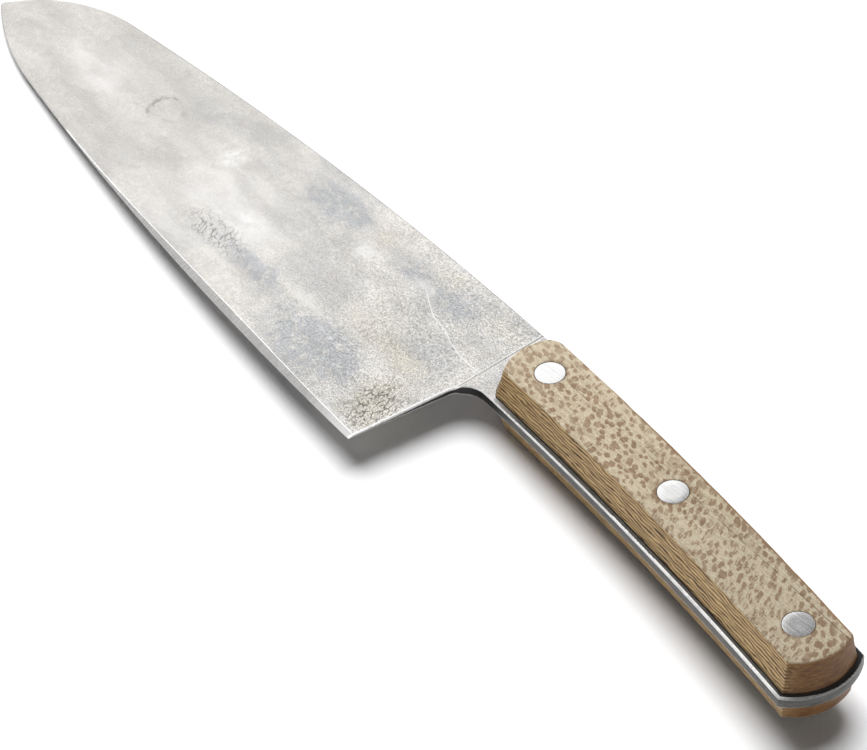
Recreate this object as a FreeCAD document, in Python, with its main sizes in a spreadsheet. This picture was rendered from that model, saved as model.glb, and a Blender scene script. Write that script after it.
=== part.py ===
import FreeCAD, Part
import Sketcher
import math
import os

from FreeCAD import Vector

# A full-tang chef knife lying flat on its side: a ground steel blade in one piece with its tang, two wooden
# scales on thin adhesive beds, and three two-piece cutler's rivets whose heads are flush with the wood.
#
# The sketches share one working frame, in millimetres. Its origin is on the spine at the plunge line, where
# the blade's grind starts, in the middle of the steel's thickness. +X runs to the tip, +Y to the cutting
# edge, +Z out of the left face. Each body's Placement moves it to the part's frame, whose origin is the
# middle of the knife's box in X and Y, on the surface that the knife lies on.

DIMENSIONS = [
    ("spine_radius", 1220.0, "the spine is one long arc from the butt to the tip's curve"),
    ("spine_low_x", 43.0, "where the spine runs parallel to X"),
    ("tip_curve_x", 176.0, "where the spine starts to drop to the tip and the edge to rise to it"),
    ("tip_reach", 209.0, "plunge line to tip"),
    ("tip_y", 27.9, "the tip, measured from the spine towards the edge"),
    ("tip_nose_radius", 1.2, "the tip is slightly rounded"),
    ("edge_radius", 1256.0, "main curve of the cutting edge"),
    ("edge_flat_x", -34.4, "where that curve runs parallel to X"),
    ("heel_x", 4.6, "heel corner"),
    ("heel_y", 58.6, "heel corner"),
    ("heel_lean", 6.7, "degrees that the heel line leans forward"),
    ("choil_radius", 7.0, "inside corner between heel and tang"),
    ("tang_width", 24.0, "the same along its whole length"),
    ("tang_thickness", 3.2, "the stock that the blade is ground from"),
    ("tang_edge_round", 0.35, "eased edges of the tang"),
    ("tang_corner_round", 0.8, "the tang's two corners at the butt"),
    ("butt_reach", 134.0, "plunge line to the end of the tang"),
    ("butt_radius", 17.1, "end of the tang"),
    ("butt_centre_y", 22.1, "end of the tang"),
    ("heel_spine_thickness", 3.1, "blade at the plunge line, on the spine"),
    ("heel_edge_thickness", 0.7, "blade at the plunge line, as low as the heel corner"),
    ("grind_reach", 220.0, "a second station of the grind, just past the tip"),
    ("far_spine_thickness", 1.82, "the grind there, level with the spine at the plunge line"),
    ("far_edge_thickness", 0.04, "the grind there, as low as the heel corner"),
    ("bevel_angle", 10.5, "degrees a side, of the sharpened edge"),
    ("edge_land", 0.1, "thickness left at the cutting edge"),
    ("scale_thickness", 7.7, "one wooden scale"),
    ("adhesive_thickness", 0.12, "one adhesive bed"),
    ("scale_base_inset", 1.5, "the tang stands proud of the scales by this all round"),
    ("scale_belly_inset", 3.65, "the left scale's outer face: its inset from the tang on the belly"),
    ("lower_belly_inset", 2.9, "the same inset on the right scale, which is a little fuller"),
    ("scale_spine_inset", 2.4, "and on the spine side"),
    ("outer_butt_reach", 130.7, "the scale's outer face: plunge line to its rear end"),
    ("outer_butt_radius", 15.0, "plan radius of that end"),
    ("outer_butt_centre_y", 20.5, "plan centre of that end"),
    ("front_base_x", -3.4, "front end of the scale, at the tang"),
    ("front_outer_x", -6.0, "front end of the scale, at its outer face"),
    ("front_radius", 15.0, "plan radius of the front end"),
    ("front_centre_y", 11.3, "plan centre of the front end"),
    ("scale_spine_round", 1.6, "outer arris along the spine side"),
    ("scale_nose_round", 4.4, "upright corner of the front end on the spine side"),
    ("scale_butt_round", 2.0, "upright corner of the butt on the spine side"),
    ("scale_corner_round", 0.6, "the two upright corners on the belly"),
    ("rivet_first_x", -17.4, "front rivet"),
    ("rivet_pitch", 50.7, "between rivets, along X"),
    ("rivet_inset", 11.5, "rivet line, measured in from the spine"),
    ("rivet_head_diameter", 7.8, "rivet"),
    ("rivet_head_thickness", 1.6, "rivet"),
    ("rivet_barrel_diameter", 4.76, "tube of the socket half"),
    ("rivet_stem_diameter", 3.2, "stem, and the bore that it is driven into"),
    ("rivet_neck_length", 1.5, "thick neck under the stem half's head"),
    ("rivet_gap", 0.3, "left between the neck and the end of the tube"),
    ("rivet_bore_depth", 13.6, "from the end of the tube"),
    ("rivet_stem_length", 12.8, "beyond the neck"),
    ("rivet_hole_diameter", 4.9, "drilled through scales, beds and tang"),
]

RIVETS = ["front", "middle", "rear"]
CUT_MARGIN = 12.0   # how far a cutting profile runs past the steel
TOLERANCE = 0.02    # for finding an edge by its place

doc = FreeCAD.newDocument("chef_knife")
sheet = doc.addObject("Spreadsheet::Sheet", "Sheet")
for row, (alias, number, note) in enumerate(DIMENSIONS, start=1):
    sheet.set(f"A{row}", note)
    sheet.set(f"B{row}", str(number))
    sheet.setAlias(f"B{row}", alias)
doc.recompute()

# Expressions over the sheet that several sub-parts share
SPINE_CENTRE_Y = "sqrt(Sheet.spine_radius^2 - Sheet.spine_low_x^2)"
BELLY_RADIUS = "(Sheet.spine_radius - Sheet.tang_width)"
BUTT_CENTRE_X = "(Sheet.butt_radius - Sheet.butt_reach)"
TANG_BUTT = (BUTT_CENTRE_X, "Sheet.butt_centre_y")
OUTER_BUTT = ("Sheet.outer_butt_radius - Sheet.outer_butt_reach", "Sheet.outer_butt_centre_y")
EDGE_CENTRE_Y = "(Sheet.heel_y - sqrt(Sheet.edge_radius^2 - (Sheet.heel_x - Sheet.edge_flat_x)^2))"
STEEL_FACE_Z = "(Sheet.tang_thickness / 2)"
WOOD_BASE_Z = "(Sheet.tang_thickness / 2 + Sheet.adhesive_thickness)"
OUTER_FACE_Z = "(Sheet.tang_thickness / 2 + Sheet.adhesive_thickness + Sheet.scale_thickness)"
FRAME_X = "((Sheet.butt_reach - Sheet.tip_reach) / 2)"
FRAME_Y = f"((Sheet.spine_radius - {SPINE_CENTRE_Y} - Sheet.heel_y) / 2)"


def number(expression):
    """What an expression over the sheet comes to."""
    return float(sheet.evalExpression(expression))


def rivet_x(index):
    return f"(Sheet.rivet_first_x - {index} * Sheet.rivet_pitch)"


def rivet_y(index):
    """The rivets stand on an arc that follows the spine."""
    reach = f"(Sheet.spine_low_x - {rivet_x(index)})"
    return f"({SPINE_CENTRE_Y} - sqrt((Sheet.spine_radius - Sheet.rivet_inset)^2 - {reach}^2))"


def new_body(label, x="0", y="0"):
    """A body whose local origin stands at (x, y) of the working frame."""
    body = doc.addObject("PartDesign::Body", label)
    body.Label = label
    body.setExpression("Placement.Base.x", f"{FRAME_X} + {x}")
    body.setExpression("Placement.Base.y", f"{FRAME_Y} + {y}")
    body.setExpression("Placement.Base.z", OUTER_FACE_Z)
    return body


def new_sketch(body, name, plane="XY_Plane", offset="0"):
    """A sketch on one of the body's origin planes, moved along that plane's normal."""
    sketch = body.newObject("Sketcher::SketchObject", name)
    support = [feature for feature in body.Origin.OriginFeatures if feature.Role == plane][0]
    sketch.AttachmentSupport = [(support, "")]
    sketch.MapMode = "FlatFace"
    sketch.setExpression("AttachmentOffset.Base.z", offset)
    return sketch


def add_arc(sketch, centre, start, end):
    """An anticlockwise arc about centre, from start's direction round to end's, with start's radius."""
    first = math.atan2(start[1] - centre[1], start[0] - centre[0])
    last = math.atan2(end[1] - centre[1], end[0] - centre[0])
    if last <= first:
        last += 2 * math.pi
    radius = math.hypot(start[0] - centre[0], start[1] - centre[1])
    circle = Part.Circle(Vector(*centre, 0), Vector(0, 0, 1), radius)
    return sketch.addGeometry(Part.ArcOfCircle(circle, first, last))


def add_line(sketch, start, end):
    return sketch.addGeometry(Part.LineSegment(Vector(*start, 0), Vector(*end, 0)))


def drive(sketch, kind, where, expression):
    """A dimension of the sketch, bound to the sheet."""
    index = sketch.addConstraint(Sketcher.Constraint(kind, *where, number(expression)))
    sketch.setExpression(f"Constraints[{index}]", expression)


ORIGIN_POINT = (-1, 1)
START, END, CENTRE = 1, 2, 3


def drive_x(sketch, geometry, point, expression):
    drive(sketch, "DistanceX", (*ORIGIN_POINT, geometry, point), expression)


def drive_y(sketch, geometry, point, expression):
    drive(sketch, "DistanceY", (*ORIGIN_POINT, geometry, point), expression)


def drive_point(sketch, geometry, point, x, y):
    drive_x(sketch, geometry, point, x)
    drive_y(sketch, geometry, point, y)


def drive_radius(sketch, geometry, expression):
    drive(sketch, "Radius", (geometry,), expression)


def join(sketch, kind, first, second):
    """kind is Coincident, or Tangent where the two ends also run on smoothly."""
    sketch.addConstraint(Sketcher.Constraint(kind, *first, *second))


def polygon(sketch, corners):
    """A closed polygon whose every corner is a pair of expressions."""
    points = [(number(x), number(y)) for x, y in corners]
    count = len(points)
    for index in range(count):
        add_line(sketch, points[index], points[(index + 1) % count])
    for index, (x, y) in enumerate(corners):
        join(sketch, "Coincident", (index, END), ((index + 1) % count, START))
        drive_point(sketch, index, START, x, y)


def edges_where(shape, test):
    """Names of the edges whose two ends and middle all pass the test."""
    names = []
    for index, edge in enumerate(shape.Edges, start=1):
        middle = edge.valueAt((edge.FirstParameter + edge.LastParameter) / 2)
        if all(test(point) for point in [vertex.Point for vertex in edge.Vertexes] + [middle]):
            names.append(f"Edge{index}")
    return names


def round_edges(body, name, radius, names):
    base = body.Tip
    fillet = body.newObject("PartDesign::Fillet", name)
    fillet.Base = (base, names)
    fillet.setExpression("Radius", radius)
    doc.recompute()
    return fillet


def edge_middle(body, name):
    edge = body.Tip.Shape.getElement(name)
    return edge.valueAt((edge.FirstParameter + edge.LastParameter) / 2)


def upright_edges(body):
    """Edges that join the two ends of a wall: their ends differ in height."""
    names = []
    for index, edge in enumerate(body.Tip.Shape.Edges, start=1):
        heights = [vertex.Z for vertex in edge.Vertexes]
        if max(heights) - min(heights) > 1:
            names.append(f"Edge{index}")
    return names


def from_spine_centre(point):
    return math.hypot(point.x - number("Sheet.spine_low_x"), point.y - number(SPINE_CENTRE_Y))


def on_belly_side(point):
    """True on the cutting edge's side of the middle of the tang."""
    return from_spine_centre(point) < number("Sheet.spine_radius - Sheet.tang_width / 2")


def on_plunge_line(point):
    return abs(point.x) < TOLERANCE


def drill_for_rivets(body, name, diameter, base_z="0", depth=None, towards=1):
    """Round holes at the three rivets: right through, or to a depth from a face, in or against +Z."""
    sketch = new_sketch(body, f"{name}_plan", "XY_Plane", base_z)
    for index in range(len(RIVETS)):
        centre = Vector(number(rivet_x(index)), number(rivet_y(index)), 0)
        circle = sketch.addGeometry(Part.Circle(centre, Vector(0, 0, 1), number(diameter) / 2))
        drive_point(sketch, circle, CENTRE, rivet_x(index), rivet_y(index))
        drive(sketch, "Diameter", (circle,), diameter)
    before = body.Tip.Shape.Volume
    holes = body.newObject("PartDesign::Pocket", name)
    holes.Profile = sketch
    if depth is None:
        holes.Type = "ThroughAll"
        holes.SideType = "Symmetric"
    else:
        holes.setExpression("Length", depth)
        holes.Reversed = towards > 0
    doc.recompute()
    must_remove(before, holes)
    return holes


def must_remove(before, feature):
    """Stops when a cut missed the solid."""
    if feature.Shape.Volume >= before - 1e-6:
        raise RuntimeError(f"{feature.Name} removed nothing")


def blank_outline(sketch):
    """Outline of blade and tang, anticlockwise from the spine."""
    spine_centre = (number("Sheet.spine_low_x"), number(SPINE_CENTRE_Y))
    edge_centre = (number("Sheet.edge_flat_x"), number(EDGE_CENTRE_Y))
    butt_centre = (number(BUTT_CENTRE_X), number("Sheet.butt_centre_y"))
    nose_centre = (number("Sheet.tip_reach - Sheet.tip_nose_radius"), number("Sheet.tip_y"))
    heel = (number("Sheet.heel_x"), number("Sheet.heel_y"))
    curve_x = number("Sheet.tip_curve_x")
    spine_radius = number("Sheet.spine_radius")
    belly_radius = number(BELLY_RADIUS)
    butt_radius = number("Sheet.butt_radius")
    nose_radius = number("Sheet.tip_nose_radius")
    edge_radius = number("Sheet.edge_radius")
    choil_radius = number("Sheet.choil_radius")

    def spine_point(x, radius):
        return (x, spine_centre[1] - math.sqrt(radius ** 2 - (x - spine_centre[0]) ** 2))

    # First guesses, which the sketch's own constraints then make exact
    butt_spine = spine_point(butt_centre[0] - 0.8 * butt_radius, spine_radius)
    butt_belly = spine_point(butt_centre[0] - 0.6 * butt_radius, belly_radius)
    spine_end = spine_point(curve_x, spine_radius)
    edge_end = (curve_x, edge_centre[1] + math.sqrt(edge_radius ** 2 - (curve_x - edge_centre[0]) ** 2))
    tip_guess = (nose_centre[0] + 0.5 * nose_radius, nose_centre[1] - 0.9 * nose_radius)
    front_guess = (nose_centre[0] + 0.5 * nose_radius, nose_centre[1] + 0.8 * nose_radius)
    heel_foot = (0.2 * choil_radius, spine_point(0, belly_radius)[1] + 0.9 * choil_radius)
    belly_start = spine_point(-choil_radius, belly_radius)

    spine = add_arc(sketch, spine_centre, butt_spine, spine_end)
    tip = add_arc(sketch, (curve_x - 5, spine_end[1] + 45), spine_end, tip_guess)
    nose = add_arc(sketch, nose_centre, tip_guess, front_guess)
    front = add_arc(sketch, (curve_x - 13, edge_end[1] - 79), front_guess, edge_end)
    edge = add_arc(sketch, edge_centre, edge_end, heel)
    heel_line = add_line(sketch, heel, heel_foot)
    choil = add_arc(sketch, (-choil_radius, belly_start[1] + choil_radius), belly_start, heel_foot)
    belly = add_arc(sketch, spine_centre, butt_belly, belly_start)
    butt = add_arc(sketch, butt_centre, butt_belly, butt_spine)

    join(sketch, "Tangent", (spine, END), (tip, START))
    join(sketch, "Tangent", (tip, END), (nose, START))
    join(sketch, "Tangent", (nose, END), (front, START))
    join(sketch, "Tangent", (front, END), (edge, START))
    join(sketch, "Coincident", (edge, END), (heel_line, START))
    join(sketch, "Tangent", (heel_line, END), (choil, END))
    join(sketch, "Tangent", (choil, START), (belly, END))
    join(sketch, "Coincident", (belly, START), (butt, START))
    join(sketch, "Coincident", (butt, END), (spine, START))
    join(sketch, "Coincident", (spine, CENTRE), (belly, CENTRE))

    drive_point(sketch, spine, CENTRE, "Sheet.spine_low_x", SPINE_CENTRE_Y)
    drive_radius(sketch, spine, "Sheet.spine_radius")
    drive_x(sketch, spine, END, "Sheet.tip_curve_x")
    drive_point(sketch, nose, CENTRE, "Sheet.tip_reach - Sheet.tip_nose_radius", "Sheet.tip_y")
    drive_radius(sketch, nose, "Sheet.tip_nose_radius")
    drive_x(sketch, front, END, "Sheet.tip_curve_x")
    drive_x(sketch, edge, CENTRE, "Sheet.edge_flat_x")
    drive_radius(sketch, edge, "Sheet.edge_radius")
    drive_point(sketch, edge, END, "Sheet.heel_x", "Sheet.heel_y")
    down_the_heel = math.radians(-90 - number("Sheet.heel_lean"))
    index = sketch.addConstraint(Sketcher.Constraint("Angle", heel_line, down_the_heel))
    sketch.setExpression(f"Constraints[{index}]", "(-90 - Sheet.heel_lean) * 1deg")
    drive_radius(sketch, choil, "Sheet.choil_radius")
    drive_radius(sketch, belly, BELLY_RADIUS)
    drive_point(sketch, butt, CENTRE, BUTT_CENTRE_X, "Sheet.butt_centre_y")
    drive_radius(sketch, butt, "Sheet.butt_radius")


def grind_section(sketch, spine_thickness, edge_thickness):
    """What the grind takes off above the blade's face at one station. The sketch's x is the frame's Y."""
    slope = f"(({edge_thickness} - {spine_thickness}) / 2 / Sheet.heel_y)"
    low = f"(0 - {CUT_MARGIN})"
    high = f"(Sheet.heel_y + {CUT_MARGIN})"
    top = f"({STEEL_FACE_Z} + {CUT_MARGIN})"
    polygon(sketch, [
        (low, f"({spine_thickness} / 2 + {slope} * {low})"),
        (high, f"({spine_thickness} / 2 + {slope} * {high})"),
        (high, top),
        (low, top),
    ])


BEVEL_START_X = "(Sheet.heel_x - 2)"
BEVEL_START_Y = f"({EDGE_CENTRE_Y} + sqrt(Sheet.edge_radius^2 - ({BEVEL_START_X} - Sheet.edge_flat_x)^2))"
BEVEL_OVERRUN = 3   # how far the bevel's cut runs on past the tip and outside the edge


def bevel_section(sketch):
    """What sharpening takes off above the bevel, at the heel. The sketch's x is the frame's Y."""
    slope = "tan(Sheet.bevel_angle * 1deg)"
    rise = "(Sheet.heel_edge_thickness)"
    polygon(sketch, [
        (f"({BEVEL_START_Y} + {BEVEL_OVERRUN})", f"(Sheet.edge_land / 2 - {BEVEL_OVERRUN} * {slope})"),
        (f"({BEVEL_START_Y} + {BEVEL_OVERRUN})", f"(Sheet.edge_land / 2 + {rise})"),
        (f"({BEVEL_START_Y} - {rise} / {slope})", f"(Sheet.edge_land / 2 + {rise})"),
    ])


def bevel_path(sketch):
    """The line of the cutting edge, from past the tip back to just before the heel corner."""
    edge_centre = (number("Sheet.edge_flat_x"), number(EDGE_CENTRE_Y))
    nose_centre = (number("Sheet.tip_reach - Sheet.tip_nose_radius"), number("Sheet.tip_y"))
    nose_radius = number("Sheet.tip_nose_radius")
    curve_x = number("Sheet.tip_curve_x")
    edge_radius = number("Sheet.edge_radius")
    edge_end = (curve_x, edge_centre[1] + math.sqrt(edge_radius ** 2 - (curve_x - edge_centre[0]) ** 2))
    tip_end = (nose_centre[0] + 0.5 * nose_radius, nose_centre[1] + 0.8 * nose_radius)
    heel_end = (number(BEVEL_START_X), number(BEVEL_START_Y))
    past_tip = (tip_end[0] + BEVEL_OVERRUN, tip_end[1] - BEVEL_OVERRUN)

    nose = add_arc(sketch, nose_centre, (nose_centre[0] + nose_radius, nose_centre[1]), tip_end)
    sketch.toggleConstruction(nose)
    front = add_arc(sketch, (curve_x - 13, edge_end[1] - 79), tip_end, edge_end)
    edge = add_arc(sketch, edge_centre, edge_end, heel_end)
    lead_out = add_line(sketch, tip_end, past_tip)

    join(sketch, "Tangent", (nose, END), (front, START))
    join(sketch, "Tangent", (front, END), (edge, START))
    join(sketch, "Tangent", (lead_out, START), (front, START))
    drive_point(sketch, nose, CENTRE, "Sheet.tip_reach - Sheet.tip_nose_radius", "Sheet.tip_y")
    drive_radius(sketch, nose, "Sheet.tip_nose_radius")
    drive_y(sketch, nose, START, "Sheet.tip_y")
    drive_x(sketch, front, END, "Sheet.tip_curve_x")
    drive_x(sketch, edge, CENTRE, "Sheet.edge_flat_x")
    drive_radius(sketch, edge, "Sheet.edge_radius")
    drive_point(sketch, edge, END, BEVEL_START_X, BEVEL_START_Y)
    drive(sketch, "Distance", (lead_out,), str(BEVEL_OVERRUN))


def make_blade_and_tang():
    body = new_body("blade_and_tang")
    outline = new_sketch(body, "blank_outline")
    blank_outline(outline)
    blank = body.newObject("PartDesign::Pad", "blank")
    blank.Profile = outline
    blank.SideType = "Symmetric"
    blank.setExpression("Length", "Sheet.tang_thickness")
    doc.recompute()
    before = blank.Shape.Volume

    heel_section = new_sketch(body, "grind_at_plunge", "YZ_Plane")
    grind_section(heel_section, "Sheet.heel_spine_thickness", "Sheet.heel_edge_thickness")
    far_section = new_sketch(body, "grind_past_tip", "YZ_Plane", "Sheet.grind_reach")
    grind_section(far_section, "Sheet.far_spine_thickness", "Sheet.far_edge_thickness")
    grind = body.newObject("PartDesign::SubtractiveLoft", "blade_grind")
    grind.Profile = heel_section
    grind.Sections = [far_section]
    grind.Ruled = True
    doc.recompute()
    must_remove(before, grind)
    before = grind.Shape.Volume

    path = new_sketch(body, "edge_line")
    bevel_path(path)
    section = new_sketch(body, "bevel_at_heel", "YZ_Plane", BEVEL_START_X)
    bevel_section(section)
    bevel = body.newObject("PartDesign::SubtractivePipe", "edge_bevel")
    bevel.Profile = section
    bevel.Spine = (path, [])
    doc.recompute()
    must_remove(before, bevel)
    before = bevel.Shape.Volume

    other_side = body.newObject("PartDesign::Mirrored", "ground_on_both_sides")
    other_side.Originals = [grind, bevel]
    middle_plane = [feature for feature in body.Origin.OriginFeatures if feature.Role == "XY_Plane"][0]
    other_side.MirrorPlane = (middle_plane, [""])
    body.Tip = other_side
    doc.recompute()
    must_remove(before, other_side)

    upright = [name for name in upright_edges(body) if edge_middle(body, name).x < number(BUTT_CENTRE_X)]
    round_edges(body, "tang_corners", "Sheet.tang_corner_round", upright)
    face_z = number(STEEL_FACE_Z)
    rim = edges_where(body.Tip.Shape, lambda point: abs(abs(point.z) - face_z) < TOLERANCE
                      and point.x < TOLERANCE and not on_plunge_line(point))
    round_edges(body, "tang_rim", "Sheet.tang_edge_round", rim)
    drill_for_rivets(body, "rivet_holes", "Sheet.rivet_hole_diameter")
    return body


def scale_outline(sketch, belly_inset, spine_inset, butt_at, butt_size, front_x):
    """Outline of a scale at one level: belly, butt, spine side and front end, each one arc."""
    spine_centre = (number("Sheet.spine_low_x"), number(SPINE_CENTRE_Y))
    butt_centre = (number(butt_at[0]), number(butt_at[1]))
    front_centre = (number(f"{front_x} - Sheet.front_radius"), number("Sheet.front_centre_y"))
    belly_radius = number(f"{BELLY_RADIUS} + {belly_inset}")
    spine_radius = number(f"Sheet.spine_radius - {spine_inset}")
    butt_radius = number(butt_size)

    def band_point(x, radius):
        return (x, spine_centre[1] - math.sqrt(radius ** 2 - (x - spine_centre[0]) ** 2))

    butt_belly = band_point(butt_centre[0] - 0.7 * butt_radius, belly_radius)
    butt_spine = band_point(butt_centre[0] - 0.8 * butt_radius, spine_radius)
    front_belly = band_point(front_centre[0] + 0.8 * number("Sheet.front_radius"), belly_radius)
    front_spine = band_point(front_centre[0] + 0.9 * number("Sheet.front_radius"), spine_radius)

    belly = add_arc(sketch, spine_centre, butt_belly, front_belly)
    butt = add_arc(sketch, butt_centre, butt_belly, butt_spine)
    spine = add_arc(sketch, spine_centre, butt_spine, front_spine)
    front = add_arc(sketch, front_centre, front_spine, front_belly)
    join(sketch, "Coincident", (belly, START), (butt, START))
    join(sketch, "Coincident", (butt, END), (spine, START))
    join(sketch, "Coincident", (spine, END), (front, START))
    join(sketch, "Coincident", (front, END), (belly, END))
    join(sketch, "Coincident", (spine, CENTRE), (belly, CENTRE))
    drive_point(sketch, spine, CENTRE, "Sheet.spine_low_x", SPINE_CENTRE_Y)
    drive_radius(sketch, spine, f"Sheet.spine_radius - {spine_inset}")
    drive_radius(sketch, belly, f"{BELLY_RADIUS} + {belly_inset}")
    drive_point(sketch, butt, CENTRE, *butt_at)
    drive_radius(sketch, butt, butt_size)
    drive_point(sketch, front, CENTRE, f"{front_x} - Sheet.front_radius", "Sheet.front_centre_y")
    drive_radius(sketch, front, "Sheet.front_radius")


def base_outline(sketch):
    """The scale's outline on the tang, which its adhesive bed shares."""
    scale_outline(sketch, "Sheet.scale_base_inset", "Sheet.scale_base_inset", TANG_BUTT,
                  "Sheet.butt_radius - Sheet.scale_base_inset", "Sheet.front_base_x")


def make_scale(label, side):
    """side is 1 for the left scale, above the steel as the knife lies, and -1 for the right."""
    body = new_body(label)
    base = new_sketch(body, f"{label}_base", "XY_Plane", f"{side} * {WOOD_BASE_Z}")
    base_outline(base)
    outer = new_sketch(body, f"{label}_outer", "XY_Plane", f"{side} * {OUTER_FACE_Z}")
    belly_inset = "Sheet.scale_belly_inset" if side > 0 else "Sheet.lower_belly_inset"
    scale_outline(outer, belly_inset, "Sheet.scale_spine_inset", OUTER_BUTT, "Sheet.outer_butt_radius",
                  "Sheet.front_outer_x")
    block = body.newObject("PartDesign::AdditiveLoft", f"{label}_block")
    upper, lower = (outer, base) if side > 0 else (base, outer)
    block.Profile = upper
    block.Sections = [lower]
    block.Ruled = True
    doc.recompute()

    spine_corners = [name for name in upright_edges(body) if not on_belly_side(edge_middle(body, name))]
    spine_corners.sort(key=lambda name: edge_middle(body, name).x)
    butt_corner_middle = edge_middle(body, spine_corners[0])
    round_edges(body, f"{label}_nose", "Sheet.scale_nose_round", spine_corners[-1:])
    butt_corner = [name for name in upright_edges(body)
                   if edge_middle(body, name).distanceToPoint(butt_corner_middle) < TOLERANCE]
    round_edges(body, f"{label}_butt", "Sheet.scale_butt_round", butt_corner)

    outer_z = side * number(OUTER_FACE_Z)
    spine_line = number("Sheet.spine_radius - Sheet.scale_spine_inset")
    arris = edges_where(body.Tip.Shape, lambda point: abs(point.z - outer_z) < TOLERANCE
                        and abs(from_spine_centre(point) - spine_line) < TOLERANCE)
    round_edges(body, f"{label}_spine_arris", "Sheet.scale_spine_round", arris)
    belly_corners = [name for name in upright_edges(body) if on_belly_side(edge_middle(body, name))]
    round_edges(body, f"{label}_belly_corners", "Sheet.scale_corner_round", belly_corners)

    drill_for_rivets(body, f"{label}_shank_holes", "Sheet.rivet_hole_diameter")
    drill_for_rivets(body, f"{label}_head_seats", "Sheet.rivet_head_diameter", f"{side} * {OUTER_FACE_Z}",
                     "Sheet.rivet_head_thickness", -side)
    return body


def make_adhesive(label, side):
    body = new_body(label)
    plan = new_sketch(body, f"{label}_plan", "XY_Plane", f"{side} * {STEEL_FACE_Z}")
    base_outline(plan)
    bed = body.newObject("PartDesign::Pad", f"{label}_bed")
    bed.Profile = plan
    bed.setExpression("Length", "Sheet.adhesive_thickness")
    bed.Reversed = side < 0
    doc.recompute()
    drill_for_rivets(body, f"{label}_holes", "Sheet.rivet_hole_diameter")
    return body


def make_rivet_half(label, index, corners):
    """A turned rivet half: its half section stands on the XZ plane, and x is the radius."""
    body = new_body(label, rivet_x(index), rivet_y(index))
    section = new_sketch(body, f"{label}_section", "XZ_Plane")
    polygon(section, corners)
    turned = body.newObject("PartDesign::Revolution", f"{label}_turned")
    turned.Profile = section
    axis = [feature for feature in body.Origin.OriginFeatures if feature.Role == "Z_Axis"][0]
    turned.ReferenceAxis = (axis, [""])
    turned.Angle = 360
    doc.recompute()
    return body


def make_rivet(position, index):
    """Socket half: its head in the left scale. Stem half: its head in the right, its stem in the bore."""
    head = "(Sheet.rivet_head_diameter / 2)"
    barrel = "(Sheet.rivet_barrel_diameter / 2)"
    stem = "(Sheet.rivet_stem_diameter / 2)"
    head_inside = f"({OUTER_FACE_Z} - Sheet.rivet_head_thickness)"
    neck_end = f"(Sheet.rivet_neck_length - {head_inside})"
    barrel_end = f"({neck_end} + Sheet.rivet_gap)"
    bore_end = f"({barrel_end} + Sheet.rivet_bore_depth)"
    stem_end = f"({neck_end} + Sheet.rivet_stem_length)"
    socket = make_rivet_half(f"rivet_{position}_socket", index, [
        ("0", OUTER_FACE_Z),
        ("0", bore_end),
        (stem, bore_end),
        (stem, barrel_end),
        (barrel, barrel_end),
        (barrel, head_inside),
        (head, head_inside),
        (head, OUTER_FACE_Z),
    ])
    stem_half = make_rivet_half(f"rivet_{position}_stem", index, [
        ("0", f"(0 - {OUTER_FACE_Z})"),
        (head, f"(0 - {OUTER_FACE_Z})"),
        (head, f"(0 - {head_inside})"),
        (barrel, f"(0 - {head_inside})"),
        (barrel, neck_end),
        (stem, neck_end),
        (stem, stem_end),
        ("0", stem_end),
    ])
    return [socket, stem_half]


sub_parts = [make_blade_and_tang()]
for side_name, side in (("left", 1), ("right", -1)):
    sub_parts.append(make_adhesive(f"adhesive_{side_name}", side))
    sub_parts.append(make_scale(f"scale_{side_name}", side))
for index, position in enumerate(RIVETS):
    sub_parts.extend(make_rivet(position, index))
doc.recompute()

for item in doc.Objects:
    if "Invalid" in item.State or "Error" in item.State:
        raise RuntimeError(f"{item.Label} failed: {item.State}")
    if item.TypeId == "Sketcher::SketchObject" and not item.FullyConstrained:
        raise RuntimeError(f"{item.Label} isn't fully constrained")
for body in sub_parts:
    shape = body.Shape
    if shape.isNull() or not shape.isValid() or len(shape.Solids) != 1:
        raise RuntimeError(f"{body.Label} isn't one valid solid")

os.makedirs("parts", exist_ok=True)
for body in sub_parts:
    body.Shape.exportStep(f"parts/{body.Label}.step")
    print(f"{body.Label}: {body.Shape.Volume:.1f} mm3")
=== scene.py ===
import math
from functools import reduce

import bmesh
import bpy
import numpy as np
from mathutils import Matrix, Vector
from mathutils.geometry import delaunay_2d_cdt


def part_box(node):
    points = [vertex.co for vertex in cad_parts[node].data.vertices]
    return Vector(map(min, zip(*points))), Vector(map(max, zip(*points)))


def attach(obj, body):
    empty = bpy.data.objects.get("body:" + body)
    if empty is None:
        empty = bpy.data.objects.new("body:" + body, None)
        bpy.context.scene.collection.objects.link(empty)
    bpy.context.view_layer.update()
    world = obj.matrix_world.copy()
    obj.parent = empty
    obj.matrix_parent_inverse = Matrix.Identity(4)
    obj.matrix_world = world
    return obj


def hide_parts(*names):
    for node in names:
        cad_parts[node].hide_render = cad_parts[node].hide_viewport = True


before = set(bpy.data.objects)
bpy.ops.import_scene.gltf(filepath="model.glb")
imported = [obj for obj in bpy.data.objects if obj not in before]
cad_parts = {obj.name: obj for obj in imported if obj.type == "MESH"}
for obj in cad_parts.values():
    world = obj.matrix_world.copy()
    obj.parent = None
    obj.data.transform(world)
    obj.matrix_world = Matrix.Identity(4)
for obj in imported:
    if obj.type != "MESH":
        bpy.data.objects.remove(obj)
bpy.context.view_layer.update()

# All lengths are in millimetres in the knife's own frame: x towards the tip, y towards the cutting
# edge, z out of the left face, and the origin where the spine meets the plunge line, halfway
# through the steel.
MM = 0.001
FULL_TURN = 2 * math.pi
POINTS_AT_ONCE = 4000

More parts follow.
